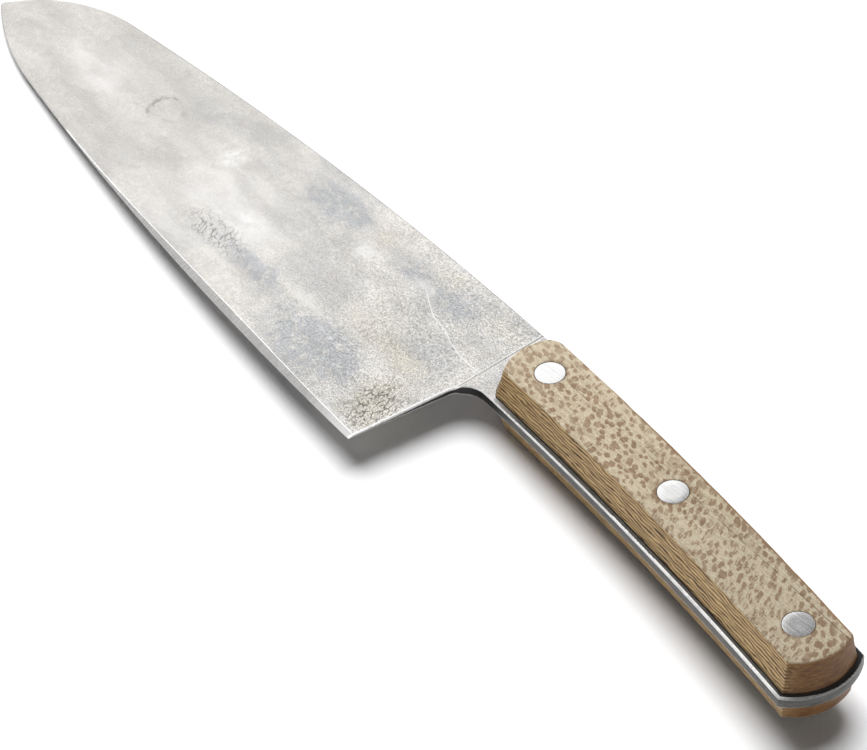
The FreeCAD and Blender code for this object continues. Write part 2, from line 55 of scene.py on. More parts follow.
# Steel outline, as in the CAD model
SPINE_RADIUS = 1220.0
SPINE_LOW_X = 43.0
TIP_CURVE_X = 176.0
NOSE_CENTRE = np.array([207.8, 27.9])
NOSE_RADIUS = 1.2
EDGE_RADIUS = 1256.0
EDGE_FLAT_X = -34.4
HEEL = np.array([4.6, 58.6])
HEEL_LEAN = math.radians(6.7)
CHOIL_RADIUS = 7.0
TANG_WIDTH = 24.0
TANG_HALF = 1.6
TANG_CORNER = 0.8
BUTT_REACH = 134.0
BUTT_RADIUS = 17.1
BUTT_CENTRE = np.array([BUTT_RADIUS - BUTT_REACH, 22.1])
SPINE_CENTRE = np.array([SPINE_LOW_X, math.sqrt(SPINE_RADIUS ** 2 - SPINE_LOW_X ** 2)])
BELLY_RADIUS = SPINE_RADIUS - TANG_WIDTH

# Half thickness of the blade at its four grind corners
HEEL_SPINE_HALF = 1.55
HEEL_EDGE_HALF = 0.35
FAR_SPINE_HALF = 0.91
FAR_EDGE_HALF = 0.02
GRIND_REACH = 220.0
BEVEL_SLOPE = math.tan(math.radians(10.5))
EDGE_LAND_HALF = 0.05

# Handle
ADHESIVE_TOP = TANG_HALF + 0.12
OUTER_FACE = ADHESIVE_TOP + 7.7
BASE_INSET = 1.5
BELLY_INSET = 3.65
LOWER_BELLY_INSET = 2.9
SPINE_INSET = 2.4
OUTER_BUTT_RADIUS = 15.0
OUTER_BUTT_CENTRE = np.array([OUTER_BUTT_RADIUS - 130.7, 20.5])
FRONT_RADIUS = 15.0
FRONT_CENTRE_Y = 11.3
FRONT_BASE_X = -3.4
FRONT_OUTER_X = -6.0
NOSE_ROUND = 4.4
BUTT_ROUND = 2.0
CORNER_ROUND = 0.6

# Rivets
RIVET_FIRST_X = -17.4
RIVET_PITCH = 50.7
RIVET_INSET = 11.5
HEAD_RADIUS = 3.9
HEAD_THICKNESS = 1.6
BARREL_RADIUS = 2.38
STEM_RADIUS = 1.6
HOLE_RADIUS = 2.45
NECK_LENGTH = 1.5
RIVET_GAP = 0.3
BORE_DEPTH = 13.6
STEM_LENGTH = 12.8

# Mesh: points round a circle, round a hole in the steel and along the heel, the distance in metres
# within which points become one, and the fill's tolerance
RING_STEPS = 72
HOLE_STEPS = 40
HEEL_POINTS = 34
WELD = 0.5e-6
FILL_TOLERANCE = 1e-5

steel_low, steel_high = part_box("blade_and_tang")
ORIGIN = Vector((steel_low.x + BUTT_REACH * MM, steel_high.y - HEEL[1] * MM,
                 (steel_low.z + steel_high.z) / 2))
rng = np.random.default_rng(7)


# ---------------------------------------------------------------- plane geometry

# An arc is given by its centre, its radius and which way it goes: 1 anticlockwise, -1 clockwise.

def unit(v):
    return v / np.linalg.norm(v)


def on_circle(centre, radius, angles):
    return centre + radius * np.c_[np.cos(angles), np.sin(angles)]


def circle_meet(c0, r0, c1, r1, near):
    """The point where two circles meet that is nearer to near."""
    gap = np.linalg.norm(c1 - c0)
    along = (r0 ** 2 - r1 ** 2 + gap ** 2) / (2 * gap)
    across = math.sqrt(max(r0 ** 2 - along ** 2, 0.0))
    u = (c1 - c0) / gap
    side = np.array([-u[1], u[0]]) * across
    points = [c0 + u * along + side, c0 + u * along - side]
    return min(points, key=lambda p: np.linalg.norm(p - near))


def arc(along, start, end, count=None, step=None):
    """Points from start towards end, which is left out: count of them, or about step apart."""
    centre, radius, turn = along
    first = math.atan2(*(start - centre)[::-1])
    last = math.atan2(*(end - centre)[::-1])
    angle = (turn * (last - first)) % FULL_TURN
    count = count or max(3, math.ceil(angle * radius / step))
    return on_circle(centre, radius, first + angle * turn * np.arange(count) / count)


def tangent_arc(start, before, after):
    """The arc that leaves another smoothly at start and ends touching a smaller one, and where it ends."""
    centre, radius, _ = after
    outward = unit(start - before[0])
    a = centre - start
    reach = (radius ** 2 - a @ a) / (2 * (a @ outward + radius))
    middle = start - reach * outward
    return (middle, reach, 1), centre + unit(centre - middle) * radius


def spine_point(x, radius=SPINE_RADIUS):
    return np.array([x, SPINE_CENTRE[1] - math.sqrt(radius ** 2 - (x - SPINE_CENTRE[0]) ** 2)])


def corner(before, after, size, near):
    """The small arc that rounds a corner between two arcs, and where it touches each."""
    (c0, r0, turn0), (c1, r1, turn1) = before, after
    centre = circle_meet(c0, r0 - turn0 * size, c1, r1 - turn1 * size, near)
    return (centre, size, 1), c0 + unit(centre - c0) * r0, c1 + unit(centre - c1) * r1


def inward_normals(loop):
    along = np.roll(loop, -1, axis=0) - np.roll(loop, 1, axis=0)
    normal = np.c_[-along[:, 1], along[:, 0]]
    return normal / np.linalg.norm(normal, axis=1)[:, None]


def distance_to(line, points):
    """Distance from each point to an open line of points."""
    best = np.empty(len(points))
    a, b = line[:-1], line[1:]
    ab = b - a
    length = (ab ** 2).sum(1)
    for first in range(0, len(points), POINTS_AT_ONCE):
        p = points[first:first + POINTS_AT_ONCE]
        t = np.clip(((p[:, None] - a) * ab).sum(2) / length, 0, 1)
        gaps = np.linalg.norm(p[:, None] - (a + t[..., None] * ab), axis=2)
        best[first:first + POINTS_AT_ONCE] = gaps.min(1)
    return best


def inside(loop, points):
    """Whether each point lies inside a closed loop."""
    x, y = points[:, 0], points[:, 1]
    odd = np.zeros(len(points), bool)
    for (x0, y0), (x1, y1) in zip(loop, np.roll(loop, -1, axis=0)):
        crosses = (y0 > y) != (y1 > y)
        if crosses.any():
            odd ^= crosses & (x < x0 + (y - y0) * (x1 - x0) / (y1 - y0))
    return odd


def well_inside(loop, points, clearance):
    """Whether each point lies inside a closed loop and farther than clearance from it."""
    return inside(loop, points) & (distance_to(np.vstack([loop, loop[:1]]), points) > clearance)


def waves(points, wavelength, seed, count=24):
    """Smooth random waves from -1 to 1, about wavelength mm long, over points in the plane."""
    draw = np.random.default_rng(seed)
    total = np.zeros(len(points))
    for _ in range(count):
        angle = draw.uniform(0, FULL_TURN)
        k = FULL_TURN / (wavelength * draw.uniform(0.7, 1.6))
        total += np.sin(k * (points[:, 0] * math.cos(angle) + points[:, 1] * math.sin(angle))
                        + draw.uniform(0, FULL_TURN))
    return np.clip(total / math.sqrt(count) / 1.6, -1, 1)


def jittered_grid(x_range, y_range, step, jitter):
    """A square grid of points, each moved a little at random."""
    gx, gy = np.meshgrid(np.arange(*x_range, step), np.arange(*y_range, step))
    return np.c_[gx.ravel(), gy.ravel()] + rng.uniform(-jitter, jitter, (gx.size, 2))


RIVET_CENTRES = [spine_point(RIVET_FIRST_X - index * RIVET_PITCH, SPINE_RADIUS - RIVET_INSET)
                 for index in range(3)]


def rivet_circles(radius, count=RING_STEPS):
    """A circle round each rivet."""
    return [on_circle(centre, radius, FULL_TURN * np.arange(count) / count) for centre in RIVET_CENTRES]


def clear_of_rivets(points, radius):
    return np.min([np.linalg.norm(points - centre, axis=1) for centre in RIVET_CENTRES], axis=0) > radius


def fill(outer, holes, inner_points, lines=()):
    """Triangles that fill a loop with holes: the points, the triangles, and where each loop went."""
    points, edges, loops = [], [], []
    for loop in [outer, *holes]:
        start = len(points)
        points.extend(loop)
        n = len(loop)
        edges.extend((start + i, start + (i + 1) % n) for i in range(n))
        loops.append(range(start, start + n))
    for line in lines:
        start = len(points)
        points.extend(line)
        edges.extend((start + i, start + i + 1) for i in range(len(line) - 1))
    points.extend(inner_points)
    made = delaunay_2d_cdt([Vector(p) for p in points], edges, [], 0, FILL_TOLERANCE, True)
    out = np.array([tuple(v) for v in made[0]])
    tris = np.array([f for f in made[2] if len(f) == 3])
    middle = out[tris].mean(1)
    keep = inside(np.array(outer), middle)
    for hole in holes:
        keep &= ~inside(np.array(hole), middle)
    tris = tris[keep]
    where = {}
    for new, olds in enumerate(made[3]):
        for old in olds:
            where[old] = new
    return out, tris, [[where[i] for i in loop] for loop in loops]


class Builder:
    """Collects vertices in knife millimetres and faces, and makes the piece."""

    def __init__(self, flip=False):
        self.verts, self.faces, self.mats, self.flip = [], [], [], flip

    def ring(self, loop, z):
        start = len(self.verts)
        z = np.broadcast_to(z, len(loop))
        self.verts.extend((p[0], p[1], h) for p, h in zip(loop, z))
        return list(range(start, start + len(loop)))

    def face(self, corners, mat=0):
        self.faces.append(corners)
        self.mats.append(mat)

    def bridge(self, low, high):
        """Quads between two rings of the same count, outside to the right going round anticlockwise."""
        n = len(low)
        for i in range(n):
            j = (i + 1) % n
            self.face((low[i], low[j], high[j], high[i]))

    def stack(self, rings):
        """Bridges each ring to the next."""
        for low, high in zip(rings, rings[1:]):
            self.bridge(low, high)

    def cap(self, outer_ring, outer_loop, hole_rings, hole_loops, inner, z, up):
        """Fills a ring, with its holes and inner points at height z."""
        out, tris, loops = fill(outer_loop, hole_loops, inner)
        index = {}
        for ring, loop in zip([outer_ring, *hole_rings], loops):
            index.update(zip(loop, ring))
        fresh = [i for i in range(len(out)) if i not in index]
        heights = np.broadcast_to(z(out) if callable(z) else z, len(out))
        for i in fresh:
            index[i] = len(self.verts)
            self.verts.append((out[i][0], out[i][1], heights[i]))
        for a, b, c in tris:
            corners = (index[a], index[b], index[c])
            self.face(corners if up else corners[::-1])

    def make(self, name, node, materials, sharp):
        """The finished piece; sharp is the least angle, in degrees, of an edge that isn't smoothed."""
        verts = np.array(self.verts, float)
        faces = self.faces
        if self.flip:
            verts = verts * (1, 1, -1)
            faces = [tuple(reversed(f)) for f in faces]
        mesh = bpy.data.meshes.new(name)
        mesh.from_pydata([Vector(v) * MM + ORIGIN for v in verts], [],
                         [tuple(map(int, f)) for f in faces])
        mesh.validate()
        for material in materials:
            mesh.materials.append(material)
        mesh.polygons.foreach_set("material_index", self.mats)
        work = bmesh.new()
        work.from_mesh(mesh)
        bmesh.ops.remove_doubles(work, verts=work.verts, dist=WELD)
        bmesh.ops.dissolve_degenerate(work, edges=work.edges, dist=WELD)
        loose = [v for v in work.verts if not v.link_faces]
        bmesh.ops.delete(work, geom=loose, context="VERTS")
        open_edges = sum(len(e.link_faces) != 2 for e in work.edges)
        print(f"{name}: {len(work.faces)} faces, {open_edges} open edges")
        work.to_mesh(mesh)
        work.free()
        mesh.shade_smooth()
        mesh.set_sharp_from_angle(angle=math.radians(sharp))
        piece = bpy.data.objects.new(name, mesh)
        bpy.context.scene.collection.objects.link(piece)
        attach(piece, "root")
        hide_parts(node)


# ---------------------------------------------------------------- materials

class Tree:
    """A node tree, with short calls for the nodes used here."""

    def __init__(self, owner):
        owner.use_nodes = True
        self.tree = owner.node_tree
        self.tree.nodes.clear()

    def add(self, kind, **values):
        """A new node, with a number or a link for each input that is named."""
        node = self.tree.nodes.new("ShaderNode" + kind)
        for name, value in values.items():
            self.put(node.inputs[name], value)
        return node

    def put(self, socket, value):
        if isinstance(value, bpy.types.NodeSocket):
            self.tree.links.new(value, socket)
        elif value is not None:
            socket.default_value = value

    def math(self, op, a, b=None, c=None, clamp=False):
        node = self.add("Math")
        node.operation = op
        node.use_clamp = clamp
        for socket, value in zip(node.inputs, (a, b, c)):
            self.put(socket, value)
        return node.outputs[0]

    def vector(self, op, a, b=None, out=0, scale=None):
        node = self.add("VectorMath")
        node.operation = op
        for index, value in ((0, a), (1, b), (3, scale)):
            self.put(node.inputs[index], value)
        return node.outputs[out]

    def times(self, *values, clamp=False):
        return reduce(lambda a, b: self.math("MULTIPLY", a, b, clamp=clamp), values)

    def plus(self, *values, clamp=False):
        return reduce(lambda a, b: self.math("ADD", a, b, clamp=clamp), values)

    def minus(self, a, b):
        return self.math("SUBTRACT", a, b)

    def most(self, a, b, clamp=False):
        return self.math("MAXIMUM", a, b, clamp=clamp)

    def band(self, value, middle, outer, inner):
        """1 within inner of the middle value, falling to 0 at outer."""
        return self.step(self.math("ABSOLUTE", self.minus(value, middle)), outer, inner)

    def length(self, vector):
        """Length in the plane of the blade."""
        return self.vector("LENGTH", self.vector("MULTIPLY", vector, (1, 1, 0)), out=1)

    def knife(self):
        """Place on the knife in its own millimetres."""
        place = self.add("TexCoord").outputs["Object"]
        return self.vector("SCALE", self.vector("SUBTRACT", place, tuple(ORIGIN)), scale=1 / MM)

    def split(self, vector):
        return self.add("SeparateXYZ", Vector=vector).outputs

    def turn(self, place, degrees, size):
        """Place turned about z and divided by size, which is 1 along z if it has two numbers."""
        node = self.add("Mapping", Vector=place, Rotation=(0, 0, math.radians(degrees)),
                        Scale=(*size, 1)[:3])
        node.vector_type = "TEXTURE"
        return node.outputs[0]

    def noise(self, place, size, detail=3, rough=0.55, distort=0, colour=False):
        node = self.add("TexNoise", Vector=place, Scale=1 / size, Detail=detail, Roughness=rough,
                        Distortion=distort)
        return node.outputs["Color" if colour else "Fac"]

    def streaks(self, place, degrees, size, scale, detail=3, rough=0.55, distort=0):
        """Noise stretched along a direction."""
        return self.noise(self.turn(place, degrees, size), scale, detail, rough, distort)

    def cells(self, place, size, feature="F1", random=1):
        node = self.add("TexVoronoi", Vector=place, Scale=1 / size, Randomness=random)
        node.feature = feature
        node.voronoi_dimensions = "2D"
        return node.outputs["Distance"]

    def step(self, value, low, high, to_low=0, to_high=1):
        """A smooth change from to_low to to_high as the value goes from low to high."""
        node = self.add("MapRange", **{"Value": value, "From Min": low, "From Max": high,
                                       "To Min": to_low, "To Max": to_high})
        node.interpolation_type = "SMOOTHSTEP"
        return node.outputs[0]

    def mix(self, factor, a, b, blend="MIX"):
        node = self.add("Mix")
        node.data_type = "RGBA"
        node.blend_type = blend
        self.put(node.inputs[0], factor)
        for socket, colour in zip(node.inputs[6:8], (a, b)):
            self.put(socket, colour if isinstance(colour, bpy.types.NodeSocket) else (*colour, 1))
        return node.outputs[2]

    def warp(self, place, size, amount, detail=2):
        """Place pushed about by smooth noise, by up to about amount mm."""
        push = self.vector("SUBTRACT", self.noise(place, size, detail, colour=True), (0.5, 0.5, 0.5))
        return self.vector("ADD", place, self.vector("SCALE", push, scale=2 * amount))

    def spot(self, place, x, y, rx, ry, degrees=0):
        """1 at a spot's middle, falling to 0 at its rim."""
        moved = self.vector("SUBTRACT", place, (x, y, 0))
        return self.step(self.length(self.turn(moved, degrees, (rx, ry, 1))), 1, 0.15)

    def spots(self, place, rows):
        """Several spots added up, each row being a strength and then what spot() takes."""
        return self.plus(*[self.times(self.spot(place, *row[1:]), row[0]) for row in rows])

    def shaded(self, colour, factor):
        """A colour times one factor in all its channels."""
        grey = self.add("CombineColor", Red=factor, Green=factor, Blue=factor)
        return self.mix(1, colour, grey.outputs[0], "MULTIPLY")

    def bump(self, height, millimetres, strength=1, after=None):
        """The surface's normal over a height; after is the normal that it adds to."""
        node = self.add("Bump", Height=height, Distance=millimetres * MM, Strength=strength, Normal=after)
        return node.outputs[0]


class Nodes(Tree):
    """A material with one shader, in patterns laid out in the knife's millimetres."""

    def __init__(self, name):
        self.material = bpy.data.materials.new(name)
        super().__init__(self.material)
        self.shader = self.add("BsdfPrincipled")
        self.put(self.add("OutputMaterial").inputs["Surface"], self.shader.outputs[0])

    def finish(self, colour, roughness, normal, metallic=0, specular=0.5):
        values = {"Base Color": colour, "Roughness": roughness, "Normal": normal, "Metallic": metallic,
                  "Specular IOR Level": specular}
        for name, value in values.items():
            self.put(self.shader.inputs[name], value)
        return self.material


# Marks on the blade: strength, x, y, half length, half width and degrees turned
COOL_SPOTS = [
    (1.6, 75, 8.5, 19, 8, 4), (1.3, 72, 40.5, 20, 6, 4), (1.5, 36, 45, 26, 12), (1, 170, 12, 11, 7, 20),
    (1, 80, 38.5, 13, 3, 2), (1, 14, 26, 14, 9, 10), (1, 24, 9, 12, 6), (1, 30, 23, 15, 10, 10),
    (1, 43, 9, 13, 7), (1, 121, 10, 20, 7, 5), (1, 188, 22, 14, 9, 30),
]
WARM_SPOTS = [
    (1, 56, 7, 6, 5), (1.6, 11, 46, 12, 14, 10), (1, 16, 32, 12, 5), (1, 9, 6, 12, 5), (1, 33, 4, 9, 4),
    (1, 28, 31, 22, 8), (1, 52, 37, 12, 4), (1, 30, 22, 16, 8),
]
PALE_SPOTS = [(1, 52, 36.5, 9, 3), (1, 88, 31, 14, 6), (1, 35, 11, 6, 2.5), (0.75, 96, 32, 34, 22),
              (1, 165, 24, 22, 10)]
RUBBED_SPOTS = [(1, 56.5, 14.6, 4.6, 5.6, 30), (1.5, 109.5, 19, 5.5, 6.5)]
# A painted highlight at the heel corner: x, y, half length, half width and degrees turned
HEEL_GLINT = (9, 57.5, 16, 3.6, -3)
PITTED_SPOTS = [(1, 9, 47, 11, 14, 8), (0.6, 88, 39, 20, 7)]
FAINT_PITS = (0.45, 28, 31, 12, 5)
STAIN_MIDDLE, STAIN_SIZE = (138, 20, 0), (5.2, 4.2, 1)

# The long scratch from the plunge line, and the box that its curve is drawn in
SCRATCH = [(1.2, 20.2), (6, 20.4), (11, 19.8), (15, 18.7), (19.5, 17), (24.2, 16.4), (28.2, 14.7),
           (32, 12.6), (34.5, 11.6)]
SCRATCH_REACH, SCRATCH_RISE = 36, 24

# Hair scratches: direction in degrees, width, and how much of the noise is left out
HAIRS = [(3, 0.055, 0.66), (-38, 0.05, 0.69), (62, 0.05, 0.70), (18, 0.045, 0.685)]


def scratch_curve(n, x):
    """The long scratch's y at each x."""
    curve = n.add("FloatCurve")
    line = curve.mapping.curves[0]
    (first_x, first_y), *between, (last_x, last_y) = SCRATCH
    line.points[0].location = (first_x / SCRATCH_REACH, first_y / SCRATCH_RISE)
    line.points[1].location = (last_x / SCRATCH_REACH, last_y / SCRATCH_RISE)
    for px, py in between:
        line.points.new(px / SCRATCH_REACH, py / SCRATCH_RISE)
    curve.mapping.update()
    n.put(curve.inputs["Value"], n.math("DIVIDE", x, SCRATCH_REACH))
    return n.times(curve.outputs[0], SCRATCH_RISE)


def patina(n, x, soft, ragged, mottle):
    """The blade's colour: pale and warm, with cool grey patches and yellower ones."""
    clouds = n.noise(soft, 34, 5, 0.6)
    cool = n.plus(n.step(clouds, 0.62, 0.40, 0, 0.55), n.times(n.spots(ragged, COOL_SPOTS), 0.55))
    cool = n.times(cool, n.step(x, 205, 50, 0.30, 1), clamp=True)
    cool = n.times(cool, n.step(mottle, 0.34, 0.58, 0.30, 1.12), clamp=True)
    warm = n.times(n.spots(ragged, WARM_SPOTS), n.step(mottle, 0.36, 0.60, 0.45, 1))
    colour = n.mix(cool, (0.88, 0.848, 0.802), (0.56, 0.57, 0.582))
    return n.mix(n.times(warm, 0.42, clamp=True), colour, (0.72, 0.68, 0.56))


def patina_shade(n, p, x, drift, mottle, grain, coarse_heel):
    """Light and dark, from broad drifts down to grain, which is coarser at the heel."""
    flakes = n.streaks(p, 2, (3.6, 0.8), 0.42, 3, 0.7, 1.2)
    dust = n.noise(p, 0.40, 1, 0.5)
    shade = n.step(drift, 0.32, 0.68, 0.88, 1.07)
    shade = n.times(shade, n.step(mottle, 0.30, 0.72, 0.83, 1.11))
    fine = n.plus(n.step(grain, 0.30, 0.70, -0.11, 0.11), n.step(flakes, 0.32, 0.68, -0.11, 0.11),
                  n.step(dust, 0.30, 0.70, -0.24, 0.24))
    shade = n.times(shade, n.math("MULTIPLY_ADD", fine, coarse_heel, 1))
    crazed = n.cells(n.warp(n.warp(p, 3, 1.2), 0.7, 0.35, 3), 1.3, feature="DISTANCE_TO_EDGE")
    threads = n.times(n.step(crazed, 0.09, 0.02), n.step(n.noise(p, 1.7, 3, 0.6), 0.45, 0.62))
    shade = n.plus(shade, n.times(threads, n.step(x, 150, 20, 0.11, 0.22)))
    # Painted shade: darker past x 100, and a little more near the tip, for how the light falls along the
    # blade
    return n.times(shade, n.step(x, 150, 205, 1, 0.96), n.step(x, 100, 125, 1, 0.905))


def rubbed_places_and_glint(n, soft, ragged, drift, mottle):
    """How far the blade is rubbed pale, with a painted highlight at the heel corner."""
    pale = n.times(n.spots(ragged, PALE_SPOTS), n.step(drift, 0.25, 0.6, 0.15, 0.55), clamp=True)
    # Rubbed places, and the painted highlight at the heel corner
    rubbed_and_glint = n.plus(n.spots(ragged, RUBBED_SPOTS), n.spot(soft, *HEEL_GLINT))
    return n.most(pale, n.times(rubbed_and_glint, n.step(mottle, 0.36, 0.62, 0.22, 0.95)), clamp=True)


def pits_and_stain(n, p, x, soft, ragged, mottle, left):
    """Pits, cracks and the half ring of stain, on the left face only."""
    pitted = n.plus(n.spots(ragged, PITTED_SPOTS), n.spots(soft, [FAINT_PITS]))
    pits = n.step(n.streaks(ragged, 25, (1, 2.4), 0.62, 3, 0.75), 0.44, 0.375)
    splits = n.cells(n.turn(n.warp(p, 0.9, 0.45, 3), 20, (1, 1.9, 1)), 1.5,
                     feature="DISTANCE_TO_EDGE")
    splits = n.times(n.step(splits, 0.11, 0.04), n.step(n.noise(p, 2.4, 3, 0.6), 0.46, 0.54))
    pits = n.times(n.most(pits, splits), n.times(pitted, left), clamp=True)
    ring = n.length(n.turn(n.vector("SUBTRACT", ragged, STAIN_MIDDLE), 10, STAIN_SIZE))
    stain = n.times(n.band(ring, 1, 0.24, 0), n.step(x, 134, 142, 0.15, 0.55))
    stain = n.times(stain, n.step(mottle, 0.42, 0.60), clamp=True)
    return n.most(pits, n.times(stain, left))


def hair_scratches(n, p):
    """Fine scratches all over, in a few directions."""
    hair = []
    for degrees, width, limit in HAIRS:
        strand = n.streaks(n.warp(p, 20, 1.2, 1), degrees, (9, width * 4, 1), 1, 2, 0.5)
        hair.append(n.step(strand, limit, limit + 0.05))
    return n.times(n.plus(*hair), 0.5, clamp=True)


def long_scratch(n, p, x, left):
    """The scratch that starts at the plunge line, on the left face only."""
    wobble_x, wobble_y, _ = n.split(n.warp(p, 2, 0.35, 2))
    return n.times(n.band(wobble_y, scratch_curve(n, wobble_x), 0.24, 0.09), n.step(x, 35, 33),
                   n.step(x, 1, 1.6), left)


def plunge_and_spine_painted_light(n, p, x, colour):
    """Painted light on the plunge line and spine: painted shade in the groove between two painted
    highlights on its ridges, and a painted shade strip along the spine.
    """
    dip = n.plus(x, n.times(n.noise(p, 4, 2), 0.12))
    ridge_highlight = n.plus(n.band(dip, 1.18, 0.22, 0.08), n.band(dip, 0.26, 0.22, 0.08))
    # Painted shade in the plunge line's groove, then painted highlights on its two ridges
    colour = n.mix(n.times(n.band(dip, 0.72, 0.28, 0.11), 0.65), colour, (0.20, 0.195, 0.19))
    colour = n.mix(n.times(ridge_highlight, 0.8), colour, (0.98, 0.97, 0.95))
    # Painted shade along the spine
    from_spine = n.minus(SPINE_RADIUS, n.length(n.vector("SUBTRACT", p, (*SPINE_CENTRE, 0))))
    return n.mix(n.step(from_spine, 0.45, 0.20, 0, 0.55), colour, (0.24, 0.24, 0.24))


def worn_steel():
    """Blade faces: a warm pale patina with cool grey clouds, pitting at the heel and fine scratches."""
    n = Nodes("worn_steel")
    p = n.knife()
    x, _, z = n.split(p)
    left = n.step(z, -0.01, 0.01)
    soft = n.warp(p, 9, 3, 3)
    ragged = n.warp(soft, 2.2, 0.9, 3)
    drift = n.streaks(soft, 4, (3.2, 1), 7, 5, 0.62)
    mottle = n.noise(ragged, 2.6, 6, 0.68)
    grain = n.noise(p, 0.85, 3, 0.72, 0.6)
    coarse_heel = n.step(x, 95, 8, 0.34, 1.25)

    colour = patina(n, x, soft, ragged, mottle)
    colour = n.shaded(colour, patina_shade(n, p, x, drift, mottle, grain, coarse_heel))
    colour = n.mix(rubbed_places_and_glint(n, soft, ragged, drift, mottle), colour, (1, 0.99, 0.975))
    dark = pits_and_stain(n, p, x, soft, ragged, mottle, left)
    colour = n.mix(n.times(dark, 0.80), colour, (0.16, 0.145, 0.12))
    hair = hair_scratches(n, p)
    colour = n.mix(hair, colour, (0.93, 0.92, 0.90))
    scratch = long_scratch(n, p, x, left)
    colour = n.mix(n.times(scratch, 0.95), colour, (1, 0.99, 0.98))
    colour = plunge_and_spine_painted_light(n, p, x, colour)

    rough = n.plus(n.step(mottle, 0.3, 0.7, 0.36, 0.50), n.times(dark, 0.2), clamp=True)
    normal = n.bump(n.times(grain, coarse_heel), 0.012, 0.5)
    normal = n.bump(mottle, 0.05, 0.5, normal)
    normal = n.bump(n.minus(1, dark), 0.08, 0.8, normal)
    normal = n.bump(n.minus(1, n.most(hair, scratch)), 0.02, 0.6, normal)
    return n.finish(colour, rough, normal, metallic=0.72)


def ground_bevel():
    """The sharpened strip: satin, with grinding marks across it."""
    n = Nodes("ground_bevel")
    p = n.knife()
    x = n.split(p)[0]
    marks = n.streaks(p, 6, (0.16, 3), 1, 3, 0.6)
    patch = n.noise(p, 7, 4, 0.6)
    colour = n.mix(n.step(marks, 0.3, 0.7), (0.36, 0.358, 0.355), (0.72, 0.715, 0.70))
    colour = n.mix(n.step(patch, 0.35, 0.7, 0, 0.4), colour, (0.40, 0.395, 0.385))
    colour = n.mix(n.step(x, 26, 6, 0, 0.75), colour, (0.93, 0.92, 0.90))
    return n.finish(colour, n.step(marks, 0.3, 0.7, 0.30, 0.46), n.bump(marks, 0.01, 0.7), metallic=0.85)


def dark_rim():
    """The squared edges of spine, heel, choil and tang: oxidised satin grey, kept dark as a painted
    reflection of the shaded floor beside them.
    """
    n = Nodes("dark_rim")
    p = n.knife()
    run = n.streaks(p, 0, (6, 6, 0.35), 1, 4, 0.6)
    specks = n.noise(p, 0.5, 3, 0.7)
    patch = n.noise(p, 6, 4, 0.6)
    # Dark base colours: partly oxide, partly a painted reflection of the shaded floor
    colour = n.mix(n.step(run, 0.3, 0.7), (0.055, 0.056, 0.054), (0.135, 0.136, 0.130))
    colour = n.mix(n.step(specks, 0.52, 0.70, 0, 0.55), colour, (0.24, 0.237, 0.228))
    colour = n.mix(n.step(patch, 0.52, 0.68, 0, 0.5), colour, (0.06, 0.055, 0.05))
    # Painted shade: nearly black from just behind the choil forward
    colour = n.mix(n.step(n.split(p)[0], -20, -8, 0, 0.85), colour, (0.018, 0.018, 0.018))
    normal = n.bump(run, 0.02, 0.6, n.bump(specks, 0.01, 0.5))
    return n.finish(colour, n.step(specks, 0.3, 0.7, 0.34, 0.5), normal, metallic=0.8)


def tang_steel():
    """The tang's two ledges beside the handle: scuffed, and darker grey as a painted reflection of the
    shaded floor beside the handle.
    """
    n = Nodes("tang_steel")
    p = n.knife()
    x = n.split(p)[0]
    mottle = n.noise(n.warp(p, 3, 1), 1.8, 5, 0.65)
    grain = n.noise(p, 0.4, 3, 0.7)
    # Dark base colours: a painted reflection of the shaded floor, with scuffs
    colour = n.mix(n.step(mottle, 0.3, 0.7), (0.12, 0.12, 0.117), (0.22, 0.22, 0.215))
    colour = n.mix(n.step(grain, 0.52, 0.72, 0, 0.35), colour, (0.26, 0.258, 0.25))
    colour = n.mix(n.step(x, -22, -9, 0, 0.9), colour, (0.50, 0.495, 0.485))
    # Painted shade: black at the butt, where the tang lies in the handle's shadow
    colour = n.mix(n.step(x, -124, -129, 0, 0.9), colour, (0.02, 0.02, 0.02))
    return n.finish(colour, n.step(grain, 0.3, 0.7, 0.34, 0.48), n.bump(grain, 0.012, 0.6), metallic=0.75)


def rubbed_corner_highlight():
    """The rounded corners of the steel and the shoulder of the sharpened strip: partly rubbed bright in
    use, and partly a painted highlight, pale and only a little metallic so that it shows bright.
    """
    n = Nodes("rubbed_corner_highlight")
    p = n.knife()
    wear = n.noise(p, 3, 4, 0.65)
    x = n.split(p)[0]
    # Pale base colour: partly real rub, partly a painted highlight
    colour = n.mix(n.step(wear, 0.30, 0.55), (0.72, 0.72, 0.715), (0.98, 0.975, 0.965))
    # Painted shade: darker at the butt, in the handle's shadow
    colour = n.mix(n.step(x, -124, -131, 0, 0.85), colour, (0.16, 0.16, 0.155))
    return n.finish(colour, n.step(wear, 0.3, 0.7, 0.34, 0.24), n.bump(wear, 0.01, 0.4), metallic=0.35)


# The two layers of flecks, front and rear: direction in degrees, and size
FLECK_LAYERS = [(-16, (2.6, 1.62, 1)), (-50, (3, 1.55, 1))]
LINE_PITCH = 0.82


